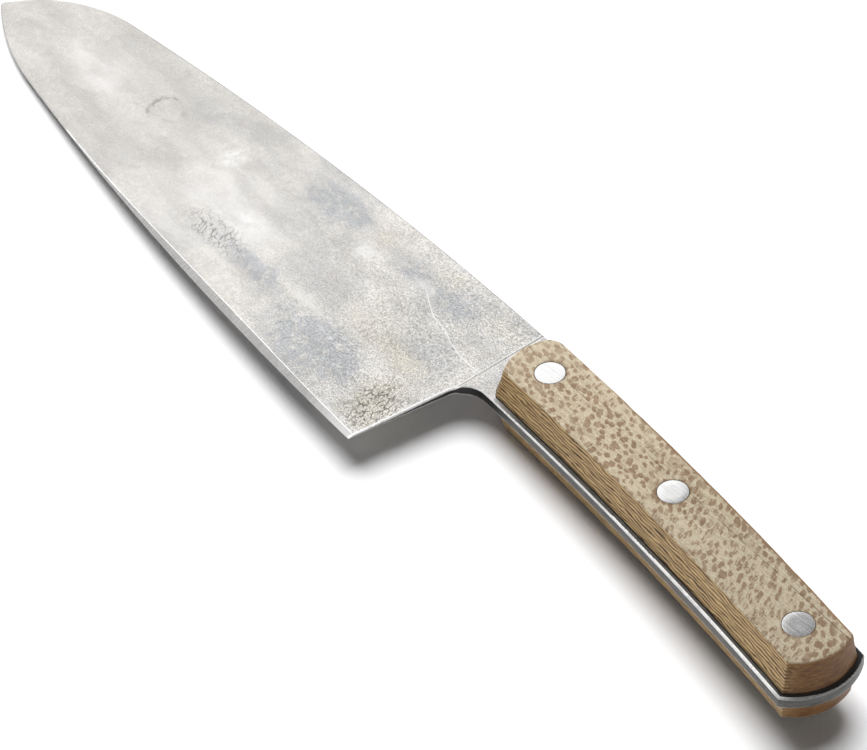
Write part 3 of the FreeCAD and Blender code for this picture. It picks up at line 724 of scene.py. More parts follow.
def ray_flecks(n, p, x, bent):
    """The ray figure: large flecks, small ones between them, and fine ribs that cut across some."""
    layers = []
    for degrees, size in FLECK_LAYERS:
        place = n.warp(n.turn(bent, degrees, size), 0.30, 0.10, 2)
        near = n.plus(n.cells(place, 1, random=0.82), n.times(n.noise(place, 2.6, 2, 0.5), 0.55))
        layers.append(n.step(near, 0.71, 0.615))
    rear = n.step(n.plus(x, n.times(n.noise(p, 9, 1), 50)), -30, -46)
    fleck = n.plus(n.times(layers[0], n.minus(1, rear)), n.times(layers[1], rear))
    small = n.cells(n.turn(bent, -32, (1, 0.55)), 1, random=0.9)
    small = n.step(n.plus(small, n.times(n.noise(p, 4, 2), 0.7)), 0.66, 0.55, 0, 0.42)
    fade = n.step(n.streaks(p, -30, (3, 1), 2.2, 3, 0.6), 0.26, 0.55, 0.62, 1)
    fleck = n.times(n.most(n.times(fleck, fade), small), n.step(x, -24, -10, 1, 0.80))
    ribs = n.streaks(bent, 18, (0.42, 2.4), 1, 1, 0.5)
    ribbed = n.step(n.streaks(p, 0, (2.2, 1), 7, 1), 0.48, 0.60, 0, 0.75)
    return n.times(fleck, n.minus(1, n.times(ribbed, n.step(ribs, 0.52, 0.44))))


def wood_face(n, p, x, y, fibre, pore, fleck):
    """The broad faces, with one growth line, and painted shade that darkens them towards the butt."""
    tone = n.streaks(p, 0, (3, 1), 6, 3, 0.5)
    cream = n.mix(n.step(tone, 0.3, 0.7), (0.45, 0.372, 0.255), (0.56, 0.475, 0.34))
    cream = n.mix(n.step(fibre, 0.38, 0.62, 0, 0.8), cream, (0.66, 0.58, 0.44))
    cream = n.mix(n.step(pore, 0.54, 0.68, 0, 0.5), cream, (0.29, 0.215, 0.13))
    brown = n.mix(n.step(tone, 0.3, 0.7), (0.180, 0.105, 0.058), (0.255, 0.160, 0.093))
    brown = n.mix(n.step(fibre, 0.38, 0.62, 0, 0.6), brown, (0.37, 0.255, 0.16))
    top = n.mix(n.times(fleck, 0.9), cream, brown)
    growth = n.minus(y, n.math("MULTIPLY_ADD", x, -0.046, 9.9))
    growth = n.plus(growth, n.times(n.noise(p, 14, 2), 0.9))
    line = n.times(n.band(growth, 0.45, 0.24, 0.08), n.step(n.noise(p, 5, 2), 0.44, 0.54))
    top = n.mix(n.times(line, 0.6), top, (0.12, 0.07, 0.04))
    # Painted shade: darker towards the butt
    return n.shaded(top, n.step(x, -20, -125, 0.865, 0.655))


def wood_side(n, p, z, pore):
    """The sides' colour, and the lines along the grain that it is made of."""
    grainwise = n.warp(n.warp(p, 7, 0.30), 1.6, 0.07, 2)
    sway = n.streaks(grainwise, 0.8, (6, 2, 1.6), 1, 2, 0.5)
    lines = n.math("SINE", n.math("MULTIPLY_ADD", z, FULL_TURN / LINE_PITCH, n.times(sway, 13)))
    lines = n.math("MULTIPLY_ADD", lines, 0.5, 0.5)
    broken = n.streaks(grainwise, 0.8, (4, 1, 0.5), 1, 2, 0.5)
    dark_line = n.times(n.step(lines, 0.70, 0.28), n.step(broken, 0.30, 0.60, 0.55, 1))
    flank = n.mix(dark_line, (0.68, 0.465, 0.21), (0.085, 0.041, 0.013))
    streaks = n.streaks(grainwise, 0.8, (22, 1, 0.8), 1, 2, 0.55)
    flank = n.mix(n.step(streaks, 0.35, 0.65, 0.22, 0), flank, (0.30, 0.18, 0.095))
    flank = n.mix(n.step(pore, 0.60, 0.72, 0, 0.4), flank, (0.10, 0.055, 0.03))
    return flank, lines


def wood_end(n, bent, depth):
    """The end grain: darker, with a paler edge."""
    end_rings = n.streaks(bent, 0, (1, 3.5, 0.5), 1.1, 5, 0.7)
    colour = n.mix(n.step(end_rings, 0.36, 0.62), (0.150, 0.066, 0.020), (0.27, 0.132, 0.044))
    edge = n.step(depth, OUTER_FACE - 1, OUTER_FACE - 0.1, 0, 0.7)
    return n.mix(edge, colour, (0.36, 0.19, 0.075))


def figured_wood():
    """Quarter-cut wood with a lacy ray figure: blobs on the broad faces, long thin lines on the sides."""
    n = Nodes("figured_wood")
    p = n.knife()
    x, y, z = n.split(p)
    depth = n.math("ABSOLUTE", z)
    bent = n.warp(n.warp(p, 11, 1.6, 2), 1.3, 0.50, 4)
    fibre = n.streaks(bent, 1.5, (11, 0.34, 0.34), 1, 3, 0.62)
    pore = n.streaks(bent, 1.5, (2.4, 0.30, 0.30), 1, 2, 0.6)
    fleck = ray_flecks(n, p, x, bent)
    flank, lines = wood_side(n, p, z, pore)

    # Which look goes where, by the way the surface faces; the rounded edge turning towards the spine is
    # darker brown towards the butt
    geometry = n.add("NewGeometry")
    facing_x, _, facing_z = n.split(geometry.outputs["True Normal"])
    smooth_y = n.split(geometry.outputs["Normal"])[1]
    sideways = n.step(n.math("ABSOLUTE", facing_z), 0.75, 0.45)
    endways = n.times(n.step(n.math("ABSOLUTE", facing_x), 0.45, 0.8), sideways)
    rolled = n.times(n.step(smooth_y, -0.12, -0.40, 0, 0.85), n.step(x, -18, -50),
                     n.step(smooth_y, -0.80, -0.55))
    colour = n.mix(sideways, wood_face(n, p, x, y, fibre, pore, fleck), flank)
    colour = n.mix(rolled, colour, (0.20, 0.115, 0.055))
    colour = n.mix(endways, colour, wood_end(n, bent, depth))

    # Painted shade along the foot of the scale, where it meets the tang, and round the rivet heads
    colour = n.mix(n.step(n.minus(depth, ADHESIVE_TOP), 0.5, 0, 0, 0.6), colour, (0.10, 0.055, 0.03))
    rivet_seat_shade = []
    for centre in RIVET_CENTRES:
        away = n.length(n.vector("SUBTRACT", bent, (*centre, 0)))
        rivet_seat_shade.append(n.step(away, HEAD_RADIUS + 0.75, HEAD_RADIUS + 0.1))
    colour = n.mix(n.times(n.plus(*rivet_seat_shade), 0.5, clamp=True), colour, (0.13, 0.07, 0.035))

    relief = n.plus(n.times(fleck, n.minus(1, sideways)), n.times(lines, sideways))
    normal = n.bump(fibre, 0.02, 0.6, n.bump(relief, 0.04, 0.5))
    return n.finish(colour, n.step(fibre, 0.3, 0.7, 0.42, 0.58), normal, specular=0.35)


def brushed_rivet():
    n = Nodes("brushed_rivet")
    p = n.knife()
    marks = n.streaks(p, 4, (9, 0.13, 0.13), 1, 3, 0.6)
    broad = n.streaks(p, 4, (9, 0.6, 0.6), 1, 2, 0.5)
    colour = n.mix(n.step(marks, 0.3, 0.7), (0.70, 0.70, 0.695), (1, 1, 0.995))
    colour = n.mix(n.step(broad, 0.35, 0.65, 0, 0.2), colour, (0.80, 0.80, 0.80))
    return n.finish(colour, n.step(marks, 0.3, 0.7, 0.11, 0.18), n.bump(marks, 0.003, 0.4), metallic=0.86)


def cured_adhesive():
    n = Nodes("cured_adhesive")
    p = n.knife()
    lumps = n.noise(p, 1.1, 4, 0.6)
    colour = n.mix(n.step(lumps, 0.3, 0.7), (0.006, 0.005, 0.004), (0.022, 0.016, 0.011))
    return n.finish(colour, n.step(lumps, 0.3, 0.7, 0.45, 0.7), n.bump(lumps, 0.05, 0.5), specular=0.3)


STEEL = [worn_steel(), ground_bevel(), dark_rim(), tang_steel(), rubbed_corner_highlight()]
FACE, BEVEL, RIM, TANG, CORNER = range(5)
WOOD = figured_wood()
RIVET = brushed_rivet()
GLUE = cured_adhesive()


# ---------------------------------------------------------------- blade and tang

def edge_rise(x):
    """How far the cutting edge lies from its arc's centre across the blade, at x."""
    return math.sqrt(EDGE_RADIUS ** 2 - (x - EDGE_FLAT_X) ** 2)


def steel_outline():
    """The outline going round anticlockwise, and the cutting edge's first and last point numbers."""
    spine, belly = (SPINE_CENTRE, SPINE_RADIUS, 1), (SPINE_CENTRE, BELLY_RADIUS, -1)
    nose, butt = (NOSE_CENTRE, NOSE_RADIUS, 1), (BUTT_CENTRE, BUTT_RADIUS, 1)
    edge = (np.array([EDGE_FLAT_X, HEEL[1] - edge_rise(HEEL[0])]), EDGE_RADIUS, 1)
    tip_start = spine_point(TIP_CURVE_X)
    front_start = np.array([TIP_CURVE_X, edge[0][1] + edge_rise(TIP_CURVE_X)])
    tip, nose_first = tangent_arc(tip_start, spine, nose)
    front, nose_last = tangent_arc(front_start, edge, nose)

    # The choil's arc touches the heel line and the belly
    down_heel = np.array([-math.sin(HEEL_LEAN), -math.cos(HEEL_LEAN)])
    off_heel = np.array([-math.cos(HEEL_LEAN), math.sin(HEEL_LEAN)])
    start = HEEL + off_heel * CHOIL_RADIUS - SPINE_CENTRE
    b, c = start @ down_heel, start @ start - (BELLY_RADIUS - CHOIL_RADIUS) ** 2
    root = math.sqrt(b * b - c)
    slide = min(s for s in (-b - root, -b + root) if s > 0)
    choil = (HEEL + off_heel * CHOIL_RADIUS + down_heel * slide, CHOIL_RADIUS, -1)
    choil_first = HEEL + down_heel * slide
    choil_last = SPINE_CENTRE + unit(choil[0] - SPINE_CENTRE) * BELLY_RADIUS

    low, low_belly, low_butt = corner(belly, butt, TANG_CORNER, BUTT_CENTRE + (-10, 13))
    high, high_butt, high_spine = corner(butt, spine, TANG_CORNER, BUTT_CENTRE + (-13, -10))
    parts = [
        arc(spine, high_spine, tip_start, step=1.2),
        arc(tip, tip_start, nose_first, step=0.9),
        arc(nose, nose_first, nose_last, step=0.25),
        arc(front, nose_last, front_start, step=0.9),
        arc(edge, front_start, HEEL, step=1.0),
        HEEL + (choil_first - HEEL) * (np.arange(HEEL_POINTS) / HEEL_POINTS)[:, None],
        arc(choil, choil_first, choil_last, step=0.4),
        arc(belly, choil_last, low_belly, step=1.1),
        arc(low, low_belly, low_butt, step=0.15),
        arc(butt, low_butt, high_butt, step=0.7),
        arc(high, high_butt, high_spine, step=0.15),
    ]
    first = sum(map(len, parts[:3]))
    last = sum(map(len, parts[:5]))
    return np.concatenate(parts), first, last


OUTLINE, EDGE_FIRST, EDGE_LAST = steel_outline()
EDGE_LINE = OUTLINE[EDGE_FIRST:EDGE_LAST + 1]
RIM_LINE = np.concatenate([OUTLINE[EDGE_LAST:], OUTLINE[:EDGE_FIRST + 1]])

# Details that only the visible steel has: the plunge line's step and the drawn-down faces
PLUNGE_START, PLUNGE_END = -0.15, 0.75
THINNING_REACH = 16.0
SWELL_DEPTH, RIPPLE_DEPTH = 0.045, 0.012
THINNEST_HALF = 0.035

# Radius worn onto the squared edges, and what tang, choil and heel have more
RIM_ROUND, TANG_ROUND, CHOIL_ROUND, HEEL_ROUND = 0.21, 0.18, 0.22, 0.20

# Width of the sharpened strip: at the heel, its gain over the first stretch, and past the fade
STRIP_HEEL, STRIP_GAIN, STRIP_TIP = 1.55, 0.75, 0.30
STRIP_GAIN_X, STRIP_FADE_X, STRIP_FADE_OVER = 50, 60, 95

# Where each look of the steel starts and ends
TANG_LOOK_X, BEVEL_LOOK_X, SHOULDER_HIGHLIGHT_X = -9.0, 3, 150
BLADE_SPINE_Y = 20
# Half width of the painted highlight along the shoulder of the sharpened strip
SHOULDER_HIGHLIGHT_HALF = 0.16

# The steel's mesh: points of the grid and of the guide lines keep this far from the outline. Rim lines
# lie at shares of the worn radius, strip lines at a share of the strip's width and a distance more.
GRID_STEP = 2.6
GRID_CLEARANCE = 3.2
LINE_CLEARANCE = 0.012
RIM_SHARES = (0.10, 0.30, 0.60, 1.0, 1.6, 4.0)
STRIP_LINES = ((0.35, 0), (0.7, 0), (1.0, -0.09), (1.0, 0.0), (1.0, 0.12), (1.0, 0.9))
PLUNGE_LINES = (PLUNGE_START, 0.0, 0.12, 0.25, 0.4, 0.57, PLUNGE_END, 0.95)
PLUNGE_POINTS = 40


def heel_share(points):
    """1 along the heel line and 0 elsewhere."""
    return np.clip((points[:, 1] - 24) / 6, 0, 1) * np.clip((10 - points[:, 0]) / 4, 0, 1)


def rim_round(points):
    """Radius worn onto the squared edges: larger on the tang and choil than on spine and heel."""
    x, y = points[:, 0], points[:, 1]
    tang = np.clip((1.0 - x) / 6.0, 0, 1) * TANG_ROUND
    choil = np.exp(-((x + 2.0) ** 2 + (y - 27.0) ** 2) / 60.0) * CHOIL_ROUND
    return RIM_ROUND + np.maximum(np.maximum(tang, choil), HEEL_ROUND * heel_share(points))


def ground_half(points):
    """Half thickness before the bevel and the worn edges."""
    x, y = points[:, 0], points[:, 1]
    heel = HEEL_SPINE_HALF + y * (HEEL_EDGE_HALF - HEEL_SPINE_HALF) / HEEL[1]
    far = FAR_SPINE_HALF + y * (FAR_EDGE_HALF - FAR_SPINE_HALF) / HEEL[1]
    blade = heel + (far - heel) * np.maximum(x, 0) / GRIND_REACH
    t = np.clip((x - PLUNGE_START) / (PLUNGE_END - PLUNGE_START), 0, 1)
    t = t ** 0.5 * (1 - (1 - t) ** 3)
    return TANG_HALF + (blade - TANG_HALF) * t


def shoulder_width(points):
    """How far the sharpened strip reaches in from the edge: it fades out before the tip."""
    x = points[:, 0]
    heel_part = STRIP_HEEL + STRIP_GAIN * np.clip(x / STRIP_GAIN_X, 0, 1)
    fade = np.clip((x - STRIP_FADE_X) / STRIP_FADE_OVER, 0, 1)
    return heel_part + (STRIP_TIP - heel_part) * fade * fade * (3 - 2 * fade)


def thinned_half(points, edge):
    """Half thickness with the faces drawn down to the shoulder of the sharpened strip."""
    ground = ground_half(points)
    target = np.minimum(EDGE_LAND_HALF + shoulder_width(points) * BEVEL_SLOPE, ground)
    share = np.clip(1 - edge / THINNING_REACH, 0, 1)
    return ground + (target - ground) * share * share * (3 - 2 * share)


def soft_min(a, b, k):
    """The smaller of two values, with the change from one to the other rounded over about k."""
    h = np.clip(0.5 + 0.5 * (b - a) / k, 0, 1)
    return b * (1 - h) + a * h - k * h * (1 - h)


def steel_heights(points, seed):
    """Half thickness at each point, and its distances to the cutting edge and the squared rim."""
    edge = distance_to(EDGE_LINE, points)
    rim = distance_to(RIM_LINE, points)
    swell = 0.5 + 0.5 * waves(points, 26, seed)
    ripple = 0.5 + 0.5 * waves(points, 7, seed + 1)
    away = np.clip(rim / 4, 0, 1) * np.clip(edge / 4, 0, 1)
    flat = np.clip((points[:, 0] - 0.8) / 3, 0, 1)
    ground = thinned_half(points, edge) - (SWELL_DEPTH * swell + RIPPLE_DEPTH * ripple) * away * flat
    half = soft_min(ground, EDGE_LAND_HALF + edge * BEVEL_SLOPE, 0.03)
    worn = np.minimum(rim_round(points), 0.7 * half)
    depth = np.clip(worn - rim, 0, None)
    half = half - (worn - np.sqrt(np.maximum(worn ** 2 - depth ** 2, 0)))
    return np.maximum(half, THINNEST_HALF), edge, rim


def guide_lines():
    """Lines of mesh edges along the worn rim, the sharpened strip and the plunge line."""
    normals = inward_normals(OUTLINE)
    rim_ids = np.r_[EDGE_LAST + 1:len(OUTLINE), 0:EDGE_FIRST]
    worn = rim_round(OUTLINE[rim_ids])
    for share in RIM_SHARES:
        yield OUTLINE[rim_ids] + normals[rim_ids] * (worn * share)[:, None]
    edge_ids = np.arange(EDGE_FIRST + 1, EDGE_LAST)
    shoulder = shoulder_width(OUTLINE[edge_ids])
    for share, more in STRIP_LINES:
        yield OUTLINE[edge_ids] + normals[edge_ids] * (shoulder * share + more)[:, None]
    plunge_y = np.linspace(0.4, 27.5, PLUNGE_POINTS)
    for x in PLUNGE_LINES:
        yield np.c_[np.full(PLUNGE_POINTS, x), plunge_y]


def runs_inside(line):
    """The stretches of a line that lie inside the outline."""
    runs, run = [], []
    for point, kept in zip(line, well_inside(OUTLINE, line, LINE_CLEARANCE)):
        if kept:
            run.append(point)
        elif run:
            runs.append(run)
            run = []
    runs.append(run)
    return [run for run in runs if len(run) > 1]


def steel_looks(middle, edge, rim):
    """The material number of each triangle of a face, from its middle."""
    x, y = middle.T
    shoulder = shoulder_width(middle)
    worn = rim_round(middle) * 0.8 + 0.30 * heel_share(middle)
    blade_spine = (x > 0) & (y < BLADE_SPINE_Y)
    # A painted highlight along the strip's shoulder, ending short of the tip
    shoulder_highlight = (np.abs(edge - shoulder) < SHOULDER_HIGHLIGHT_HALF) & (x > BEVEL_LOOK_X)
    looks = np.where(x < TANG_LOOK_X, TANG, FACE)
    looks[(edge < shoulder) & (x > BEVEL_LOOK_X)] = BEVEL
    # Worn corners, wider at the heel, and the strip's shoulder take the corner look, which is partly a
    # painted highlight
    looks[(rim < worn) & ~blade_spine | shoulder_highlight & (x < SHOULDER_HIGHLIGHT_X)] = CORNER
    return looks


def make_steel():
    grid = jittered_grid((-136, 210), (-2, 62), GRID_STEP, 0.5)
    grid = grid[well_inside(OUTLINE, grid, GRID_CLEARANCE) & (np.abs(grid[:, 0] - 0.4) > 1.6)
                & clear_of_rivets(grid, HOLE_RADIUS + 1)]
    lines = [run for line in guide_lines() for run in runs_inside(line)]
    out, tris, _ = fill(OUTLINE, rivet_circles(HOLE_RADIUS, HOLE_STEPS), grid, lines)

    top, edge, rim = steel_heights(out, 11)
    low = steel_heights(out, 29)[0]
    b = Builder()
    high_ids = b.ring(out, top)
    low_ids = b.ring(out, -low)
    looks = steel_looks(out[tris].mean(1), edge[tris].mean(1), rim[tris].mean(1))
    for (i, j, k), look in zip(tris, looks.tolist()):
        b.face((high_ids[i], high_ids[j], high_ids[k]), look)
        b.face((low_ids[k], low_ids[j], low_ids[i]), look)
    sides = dict.fromkeys((i, j) for tri in tris for i, j in zip(tri, np.roll(tri, -1)))
    for i, j in sides:
        if (j, i) not in sides:
            on_edge = edge[i] < 0.02 and edge[j] < 0.02
            b.face((low_ids[i], low_ids[j], high_ids[j], high_ids[i]), BEVEL if on_edge else RIM)
    b.make("steel_blade_and_tang", "blade_and_tang", STEEL, sharp=28)


# ---------------------------------------------------------------- handle

# Points on each arc of a scale's outline, from the spine round by the front, belly and butt
SCALE_STEPS = (110, 12, 30, 6, 110, 6, 26, 8)


def scale_loop(belly_inset, spine_inset, butt_centre, butt_radius, front_x):
    """A scale's outline at one level, with the same count of points on each arc at every level."""
    spine = (SPINE_CENTRE, SPINE_RADIUS - spine_inset, 1)
    front = (np.array([front_x - FRONT_RADIUS, FRONT_CENTRE_Y]), FRONT_RADIUS, 1)
    belly = (SPINE_CENTRE, BELLY_RADIUS + belly_inset, -1)
    butt = (butt_centre, butt_radius, 1)
    nose, nose_spine, nose_front = corner(spine, front, NOSE_ROUND, front[0] + (12, -11))
    bow, bow_front, bow_belly = corner(front, belly, CORNER_ROUND, front[0] + (11, 10))
    low, low_belly, low_butt = corner(belly, butt, CORNER_ROUND, butt_centre + (-9, 11))
    high, high_butt, high_spine = corner(butt, spine, BUTT_ROUND, butt_centre + (-11, -10))
    arcs = [spine, nose, front, bow, belly, low, butt, high]
    ends = [high_spine, nose_spine, nose_front, bow_front, bow_belly, low_belly, low_butt, high_butt]
    return np.concatenate([arc(*each) for each in zip(arcs, ends, ends[1:] + ends[:1], SCALE_STEPS)])


BASE_LOOP = scale_loop(BASE_INSET, BASE_INSET, BUTT_CENTRE, BUTT_RADIUS - BASE_INSET, FRONT_BASE_X)

# Radius of the edge between outer face and sides, all round: large along the spine, crisp on the belly
ARRIS_RANGES = ((1.3, 1.3), (1.3, 0.8), (0.8, 0.3), (0.3, 0.3), (0.3, 0.3), (0.3, 0.3), (0.35, 0.5),
                (0.5, 1.3))
ARRIS_ROUND = np.concatenate([np.linspace(*ends, count) for ends, count in zip(ARRIS_RANGES, SCALE_STEPS)])

# Shares of the way up a scale's side, and degrees round its edge, at which its rings lie
SIDE_SHARES = (0.0, 0.06, 0.3, 0.55, 0.8, 1.0)
ARRIS_DEGREES = (15, 30, 45, 60, 75, 90)
SCALE_GRID_STEP = 2.4

# Radius and height of each ring down a scale's stepped rivet hole
HEAD_BORE = HEAD_RADIUS + 0.12
BORE_RINGS = [(HEAD_BORE, OUTER_FACE), (HEAD_RADIUS + 0.09, OUTER_FACE - 0.10),
              (HEAD_RADIUS + 0.06, OUTER_FACE - HEAD_THICKNESS), (HOLE_RADIUS, OUTER_FACE - HEAD_THICKNESS),
              (HOLE_RADIUS, ADHESIVE_TOP)]


# The adhesive's squeezed-out bead: share of its width and height over the tang, ring by ring
BEAD_RINGS = ((1.0, 0), (0.9, 0.07), (0.55, 0.2), (0.02, 0.34))
UNDER_WOOD = 0.4


def raised(loop, z):
    return np.c_[loop, np.full(len(loop), z)]


def make_scale(side, name, node, seed):
    b = Builder(flip=side < 0)
    outer = scale_loop(BELLY_INSET if side > 0 else LOWER_BELLY_INSET, SPINE_INSET, OUTER_BUTT_CENTRE,
                       OUTER_BUTT_RADIUS, FRONT_OUTER_X)
    inward = inward_normals(outer)
    crisp = np.clip(0.6 / ARRIS_ROUND, 0.2, 1)
    wobble = (0.05 * waves(outer, 9, seed) + 0.04 * waves(outer, 2.5, seed + 1)) * crisp
    outer = outer + inward * (wobble + 0.08)[:, None]
    rounds = (ARRIS_ROUND * (1 + 0.10 * waves(outer, 11, seed + 2)))[:, None]
    start, crest = raised(BASE_LOOP, ADHESIVE_TOP), raised(outer, OUTER_FACE)
    down = (start - crest) / np.linalg.norm(start - crest, axis=1)[:, None]
    foot = crest + down * rounds
    rings = []
    for t in SIDE_SHARES:
        points = start + (foot - start) * t
        points[:, :2] += inward * 0.05 * math.sin(math.pi * t)
        rings.append(points)
    flat_in = raised(inward, 0)
    for degrees in ARRIS_DEGREES:
        a = math.radians(degrees)
        rings.append(crest + rounds * ((1 - math.sin(a)) * down + (1 - math.cos(a)) * flat_in))
    ids = [b.ring(ring[:, :2], ring[:, 2]) for ring in rings]
    b.stack(ids)
    bores = [[b.ring(loop, z) for loop in rivet_circles(radius)] for radius, z in BORE_RINGS]
    for bore in zip(*bores):
        b.stack(bore)

    grid = jittered_grid((-136, 0), (-2, 40), SCALE_GRID_STEP, 0.4)
    for loop, ring, bore, radius, z, up in (
            (rings[-1][:, :2], ids[-1], bores[0], HEAD_BORE, OUTER_FACE, True),
            (BASE_LOOP, ids[0], bores[-1], HOLE_RADIUS, ADHESIVE_TOP, False)):
        inner = grid[well_inside(loop, grid, 1.2) & clear_of_rivets(grid, radius + 0.9)]

        def height(points, z=z, up=up):
            return z - (0.02 + 0.02 * waves(points, 14, seed + 3)) * up

        b.cap(ring, loop, bore, rivet_circles(radius), inner, height, up)
    b.make(name, node, [WOOD], sharp=38)


def make_bed(side, name, node, seed):
    """The adhesive bed, with the thin dark line that was squeezed out round the wood; towards the butt the
    line widens as painted shade between the scale's end and the tang.
    """
    b = Builder(flip=side < 0)
    inward = inward_normals(BASE_LOOP)
    bead = 0.12 + 0.05 * waves(BASE_LOOP, 8, seed) + 0.04 * waves(BASE_LOOP, 2, seed + 1)
    # Painted shade: the dark line widens towards the butt
    bead = (bead + 0.35 * np.clip((-122 - BASE_LOOP[:, 0]) / 8, 0, 1))[:, None]
    rings = [b.ring(BASE_LOOP - inward * bead * share, TANG_HALF + rise) for share, rise in BEAD_RINGS]
    under_wood = BASE_LOOP + inward * UNDER_WOOD
    rings.append(b.ring(under_wood, ADHESIVE_TOP))
    b.stack(rings)
    loops = rivet_circles(HOLE_RADIUS)
    tops = [b.ring(loop, ADHESIVE_TOP) for loop in loops]
    bottoms = [b.ring(loop, TANG_HALF) for loop in loops]
    for high, low in zip(tops, bottoms):
        b.bridge(high, low)
    none = np.zeros((0, 2))
    b.cap(rings[-1], under_wood, tops, loops, none, ADHESIVE_TOP, True)
    b.cap(rings[0], BASE_LOOP - inward * bead, bottoms, loops, none, TANG_HALF, False)
    b.make(name, node, [GLUE], sharp=32)


def make_rivet(index, node, name, profile, side):
    """profile runs from the axis at the head, round the outside and back to the axis."""
    b = Builder(flip=side < 0)
    rings = [b.ring(rivet_circles(r)[index], z) for r, z in profile[1:-1]]
    for high, low in zip(rings, rings[1:]):
        b.bridge(low, high)
    for ring, (_, z), up in ((rings[0], profile[0], True), (rings[-1], profile[-1], False)):
        middle = b.ring([RIVET_CENTRES[index]], z)[0]
        for i in range(RING_STEPS):
            j = (i + 1) % RING_STEPS
            b.face((ring[i], ring[j], middle) if up else (ring[j], ring[i], middle))
    b.make(name, node, [RIVET], sharp=30)


# A rivet half's section. The head's top is very slightly domed, and its seat clears the wood.
HEAD_TOP = OUTER_FACE - 0.02
HEAD_INSIDE = OUTER_FACE - HEAD_THICKNESS
NECK_END = HEAD_INSIDE - NECK_LENGTH
BARREL_END = -NECK_END + RIVET_GAP
BORE_END = BARREL_END + BORE_DEPTH
STEM_END = -NECK_END + STEM_LENGTH
SEAT = HEAD_RADIUS - 0.03
HEAD_PROFILE = [(0, HEAD_TOP), (1.9, HEAD_TOP - 0.001), (SEAT - 0.14, HEAD_TOP - 0.002),
                (SEAT - 0.10, HEAD_TOP - 0.004), (SEAT - 0.04, HEAD_TOP - 0.02), (SEAT, HEAD_TOP - 0.07),
                (SEAT, HEAD_INSIDE + 0.02), (BARREL_RADIUS, HEAD_INSIDE + 0.02)]
SOCKET_PROFILE = HEAD_PROFILE + [(BARREL_RADIUS, BARREL_END), (STEM_RADIUS, BARREL_END),
                                 (STEM_RADIUS, BORE_END), (0, BORE_END)]
STEM_PROFILE = HEAD_PROFILE + [(BARREL_RADIUS, NECK_END), (STEM_RADIUS - 0.03, NECK_END),
                               (STEM_RADIUS - 0.03, -STEM_END + 0.3), (STEM_RADIUS - 0.3, -STEM_END),
                               (0, -STEM_END)]

make_steel()
make_scale(1, "left_scale", "scale_left", 41)
make_scale(-1, "right_scale", "scale_right", 57)
make_bed(1, "left_bed", "adhesive_left", 71)
make_bed(-1, "right_bed", "adhesive_right", 83)
for index, position in enumerate(("front", "middle", "rear")):
    make_rivet(index, f"rivet_{position}_socket", f"{position}_rivet_socket", SOCKET_PROFILE, 1)
    make_rivet(index, f"rivet_{position}_stem", f"{position}_rivet_stem", STEM_PROFILE, -1)


# ---------------------------------------------------------------- floor, light and camera

# The knife lies on its handle and its tip, so in the knife's frame the floor slopes up towards the tip.
FLOOR_SLOPE = (OUTER_FACE - 0.5) / (GRIND_REACH - 11 - FRONT_OUTER_X)
FLOOR_SIZE = 60.0
FLOOR_GAP = 0.05
KEY_ENERGY = 4.1
KEY_SPREAD = 52
KEY_FROM = (0.40, -0.22, 0.89)
SKY_DIM, SKY_BRIGHT = 0.14, 1.50
contact = Vector((FRONT_OUTER_X, TANG_WIDTH / 2, -OUTER_FACE - FLOOR_GAP)) * MM + ORIGIN
floor_mesh = bpy.data.meshes.new("floor")
corners = [Vector((sx * FLOOR_SIZE, sy * FLOOR_SIZE, sx * FLOOR_SIZE * FLOOR_SLOPE)) + contact
           for sx, sy in ((-1, -1), (1, -1), (1, 1), (-1, 1))]
floor_mesh.from_pydata(corners, [], [(0, 1, 2, 3)])
floor = bpy.data.objects.new("floor", floor_mesh)
bpy.context.scene.collection.objects.link(floor)
paint = Nodes("pale_floor")
floor_mesh.materials.append(paint.finish((0.93, 0.93, 0.94, 1), 0.6, None, specular=0.2))


def aim(obj, back, roll=0.0):
    """Turns a light or camera so that it looks against back, rolled about its own axis."""
    back = Vector(back).normalized()
    right = Vector((0, 0, 1)).cross(back).normalized()
    up = back.cross(right)
    turned_up = up * math.cos(roll) + right * math.sin(roll)
    turned_right = turned_up.cross(back)
    rot = Matrix((turned_right, turned_up, back)).transposed()
    obj.rotation_mode = "QUATERNION"
    obj.rotation_quaternion = rot.to_quaternion()


key = bpy.data.objects.new("key", bpy.data.lights.new("key", "SUN"))
key.data.energy = KEY_ENERGY
key.data.angle = math.radians(KEY_SPREAD)
aim(key, KEY_FROM)
key.visible_glossy = False
bpy.context.scene.collection.objects.link(key)

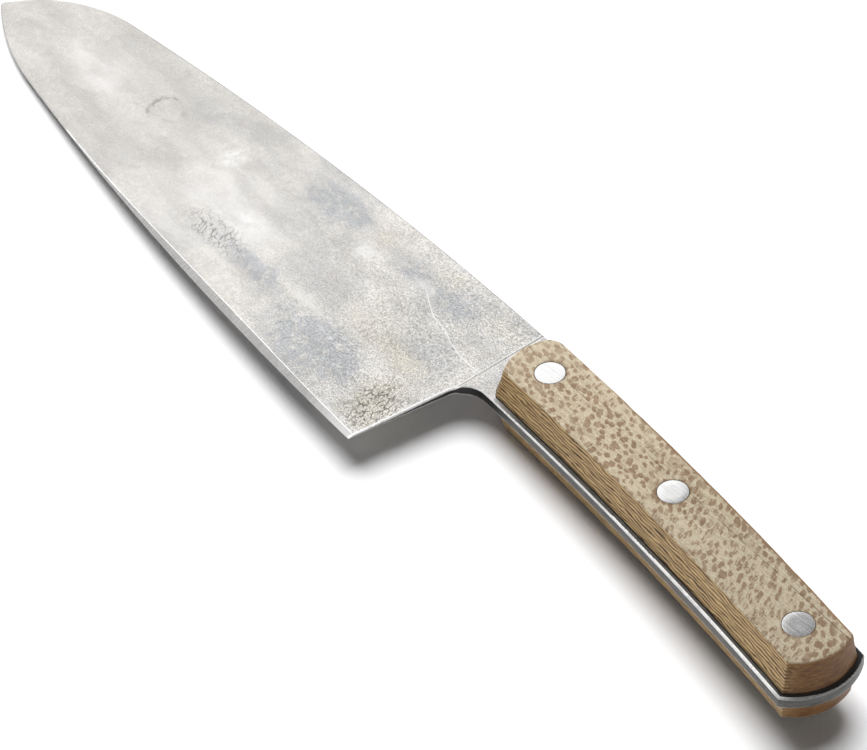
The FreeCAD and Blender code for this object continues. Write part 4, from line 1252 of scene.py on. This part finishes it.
# A broad softbox in the sky on the far side of the spine, with its near border just behind the rear
# rivet's reflection, so the blade and the first two rivets shine and the last rivet doesn't.
box_middle = Vector((0.66, -0.36, 0.66)).normalized()
box_long = Vector((0.793, 0.349, -0.498)).normalized()
box_wide = box_middle.cross(box_long).normalized()
world = bpy.data.worlds.new("studio")
bpy.context.scene.world = world
sky = Tree(world)
background = sky.add("Background")
sky.put(sky.add("OutputWorld").inputs[0], background.outputs[0])
ray = sky.add("TexCoord").outputs["Generated"]
lengthways = sky.vector("DOT_PRODUCT", ray, box_long, out=1)
sideways = sky.math("ABSOLUTE", sky.vector("DOT_PRODUCT", ray, box_wide, out=1))
facing = sky.vector("DOT_PRODUCT", ray, box_middle, out=1)
lit = sky.times(sky.step(lengthways, -0.120, -0.092), sky.step(lengthways, 0.60, 0.35),
                sky.step(sideways, 0.55, 0.35), sky.step(facing, 0.2, 0.4))
# Dim reflector cards all round the rest of the sky, which only the shiny metal sees.
mirrored = sky.add("LightPath").outputs["Is Glossy Ray"]
cards = sky.times(mirrored, sky.step(facing, 0.90, 0.60, 0.0, 0.30))
sky.put(background.inputs["Strength"], sky.step(sky.most(lit, cards), 0.0, 1.0, SKY_DIM, SKY_BRIGHT))

CAMERA_TARGET = Vector((8.86, 28.78, 0.0)) * MM + ORIGIN
CAMERA_AZIMUTH = math.radians(235.02)
CAMERA_ELEVATION = math.radians(43.573)
CAMERA_ROLL = math.radians(4.011)
CAMERA_DISTANCE = 0.90987
camera = bpy.data.objects.new("camera", bpy.data.cameras.new("camera"))
bpy.context.scene.collection.objects.link(camera)
bpy.context.scene.camera = camera
camera.data.lens = 151.27
camera.data.sensor_width = 36.0
back = Vector((math.sin(CAMERA_AZIMUTH) * math.cos(CAMERA_ELEVATION),
               -math.cos(CAMERA_AZIMUTH) * math.cos(CAMERA_ELEVATION), math.sin(CAMERA_ELEVATION)))
camera.location = CAMERA_TARGET + back * CAMERA_DISTANCE
aim(camera, back, CAMERA_ROLL)
camera.data.clip_start = 0.01
camera.data.clip_end = 200.0

bpy.context.scene.view_settings.view_transform = "Standard"
bpy.context.scene.view_settings.look = "None"
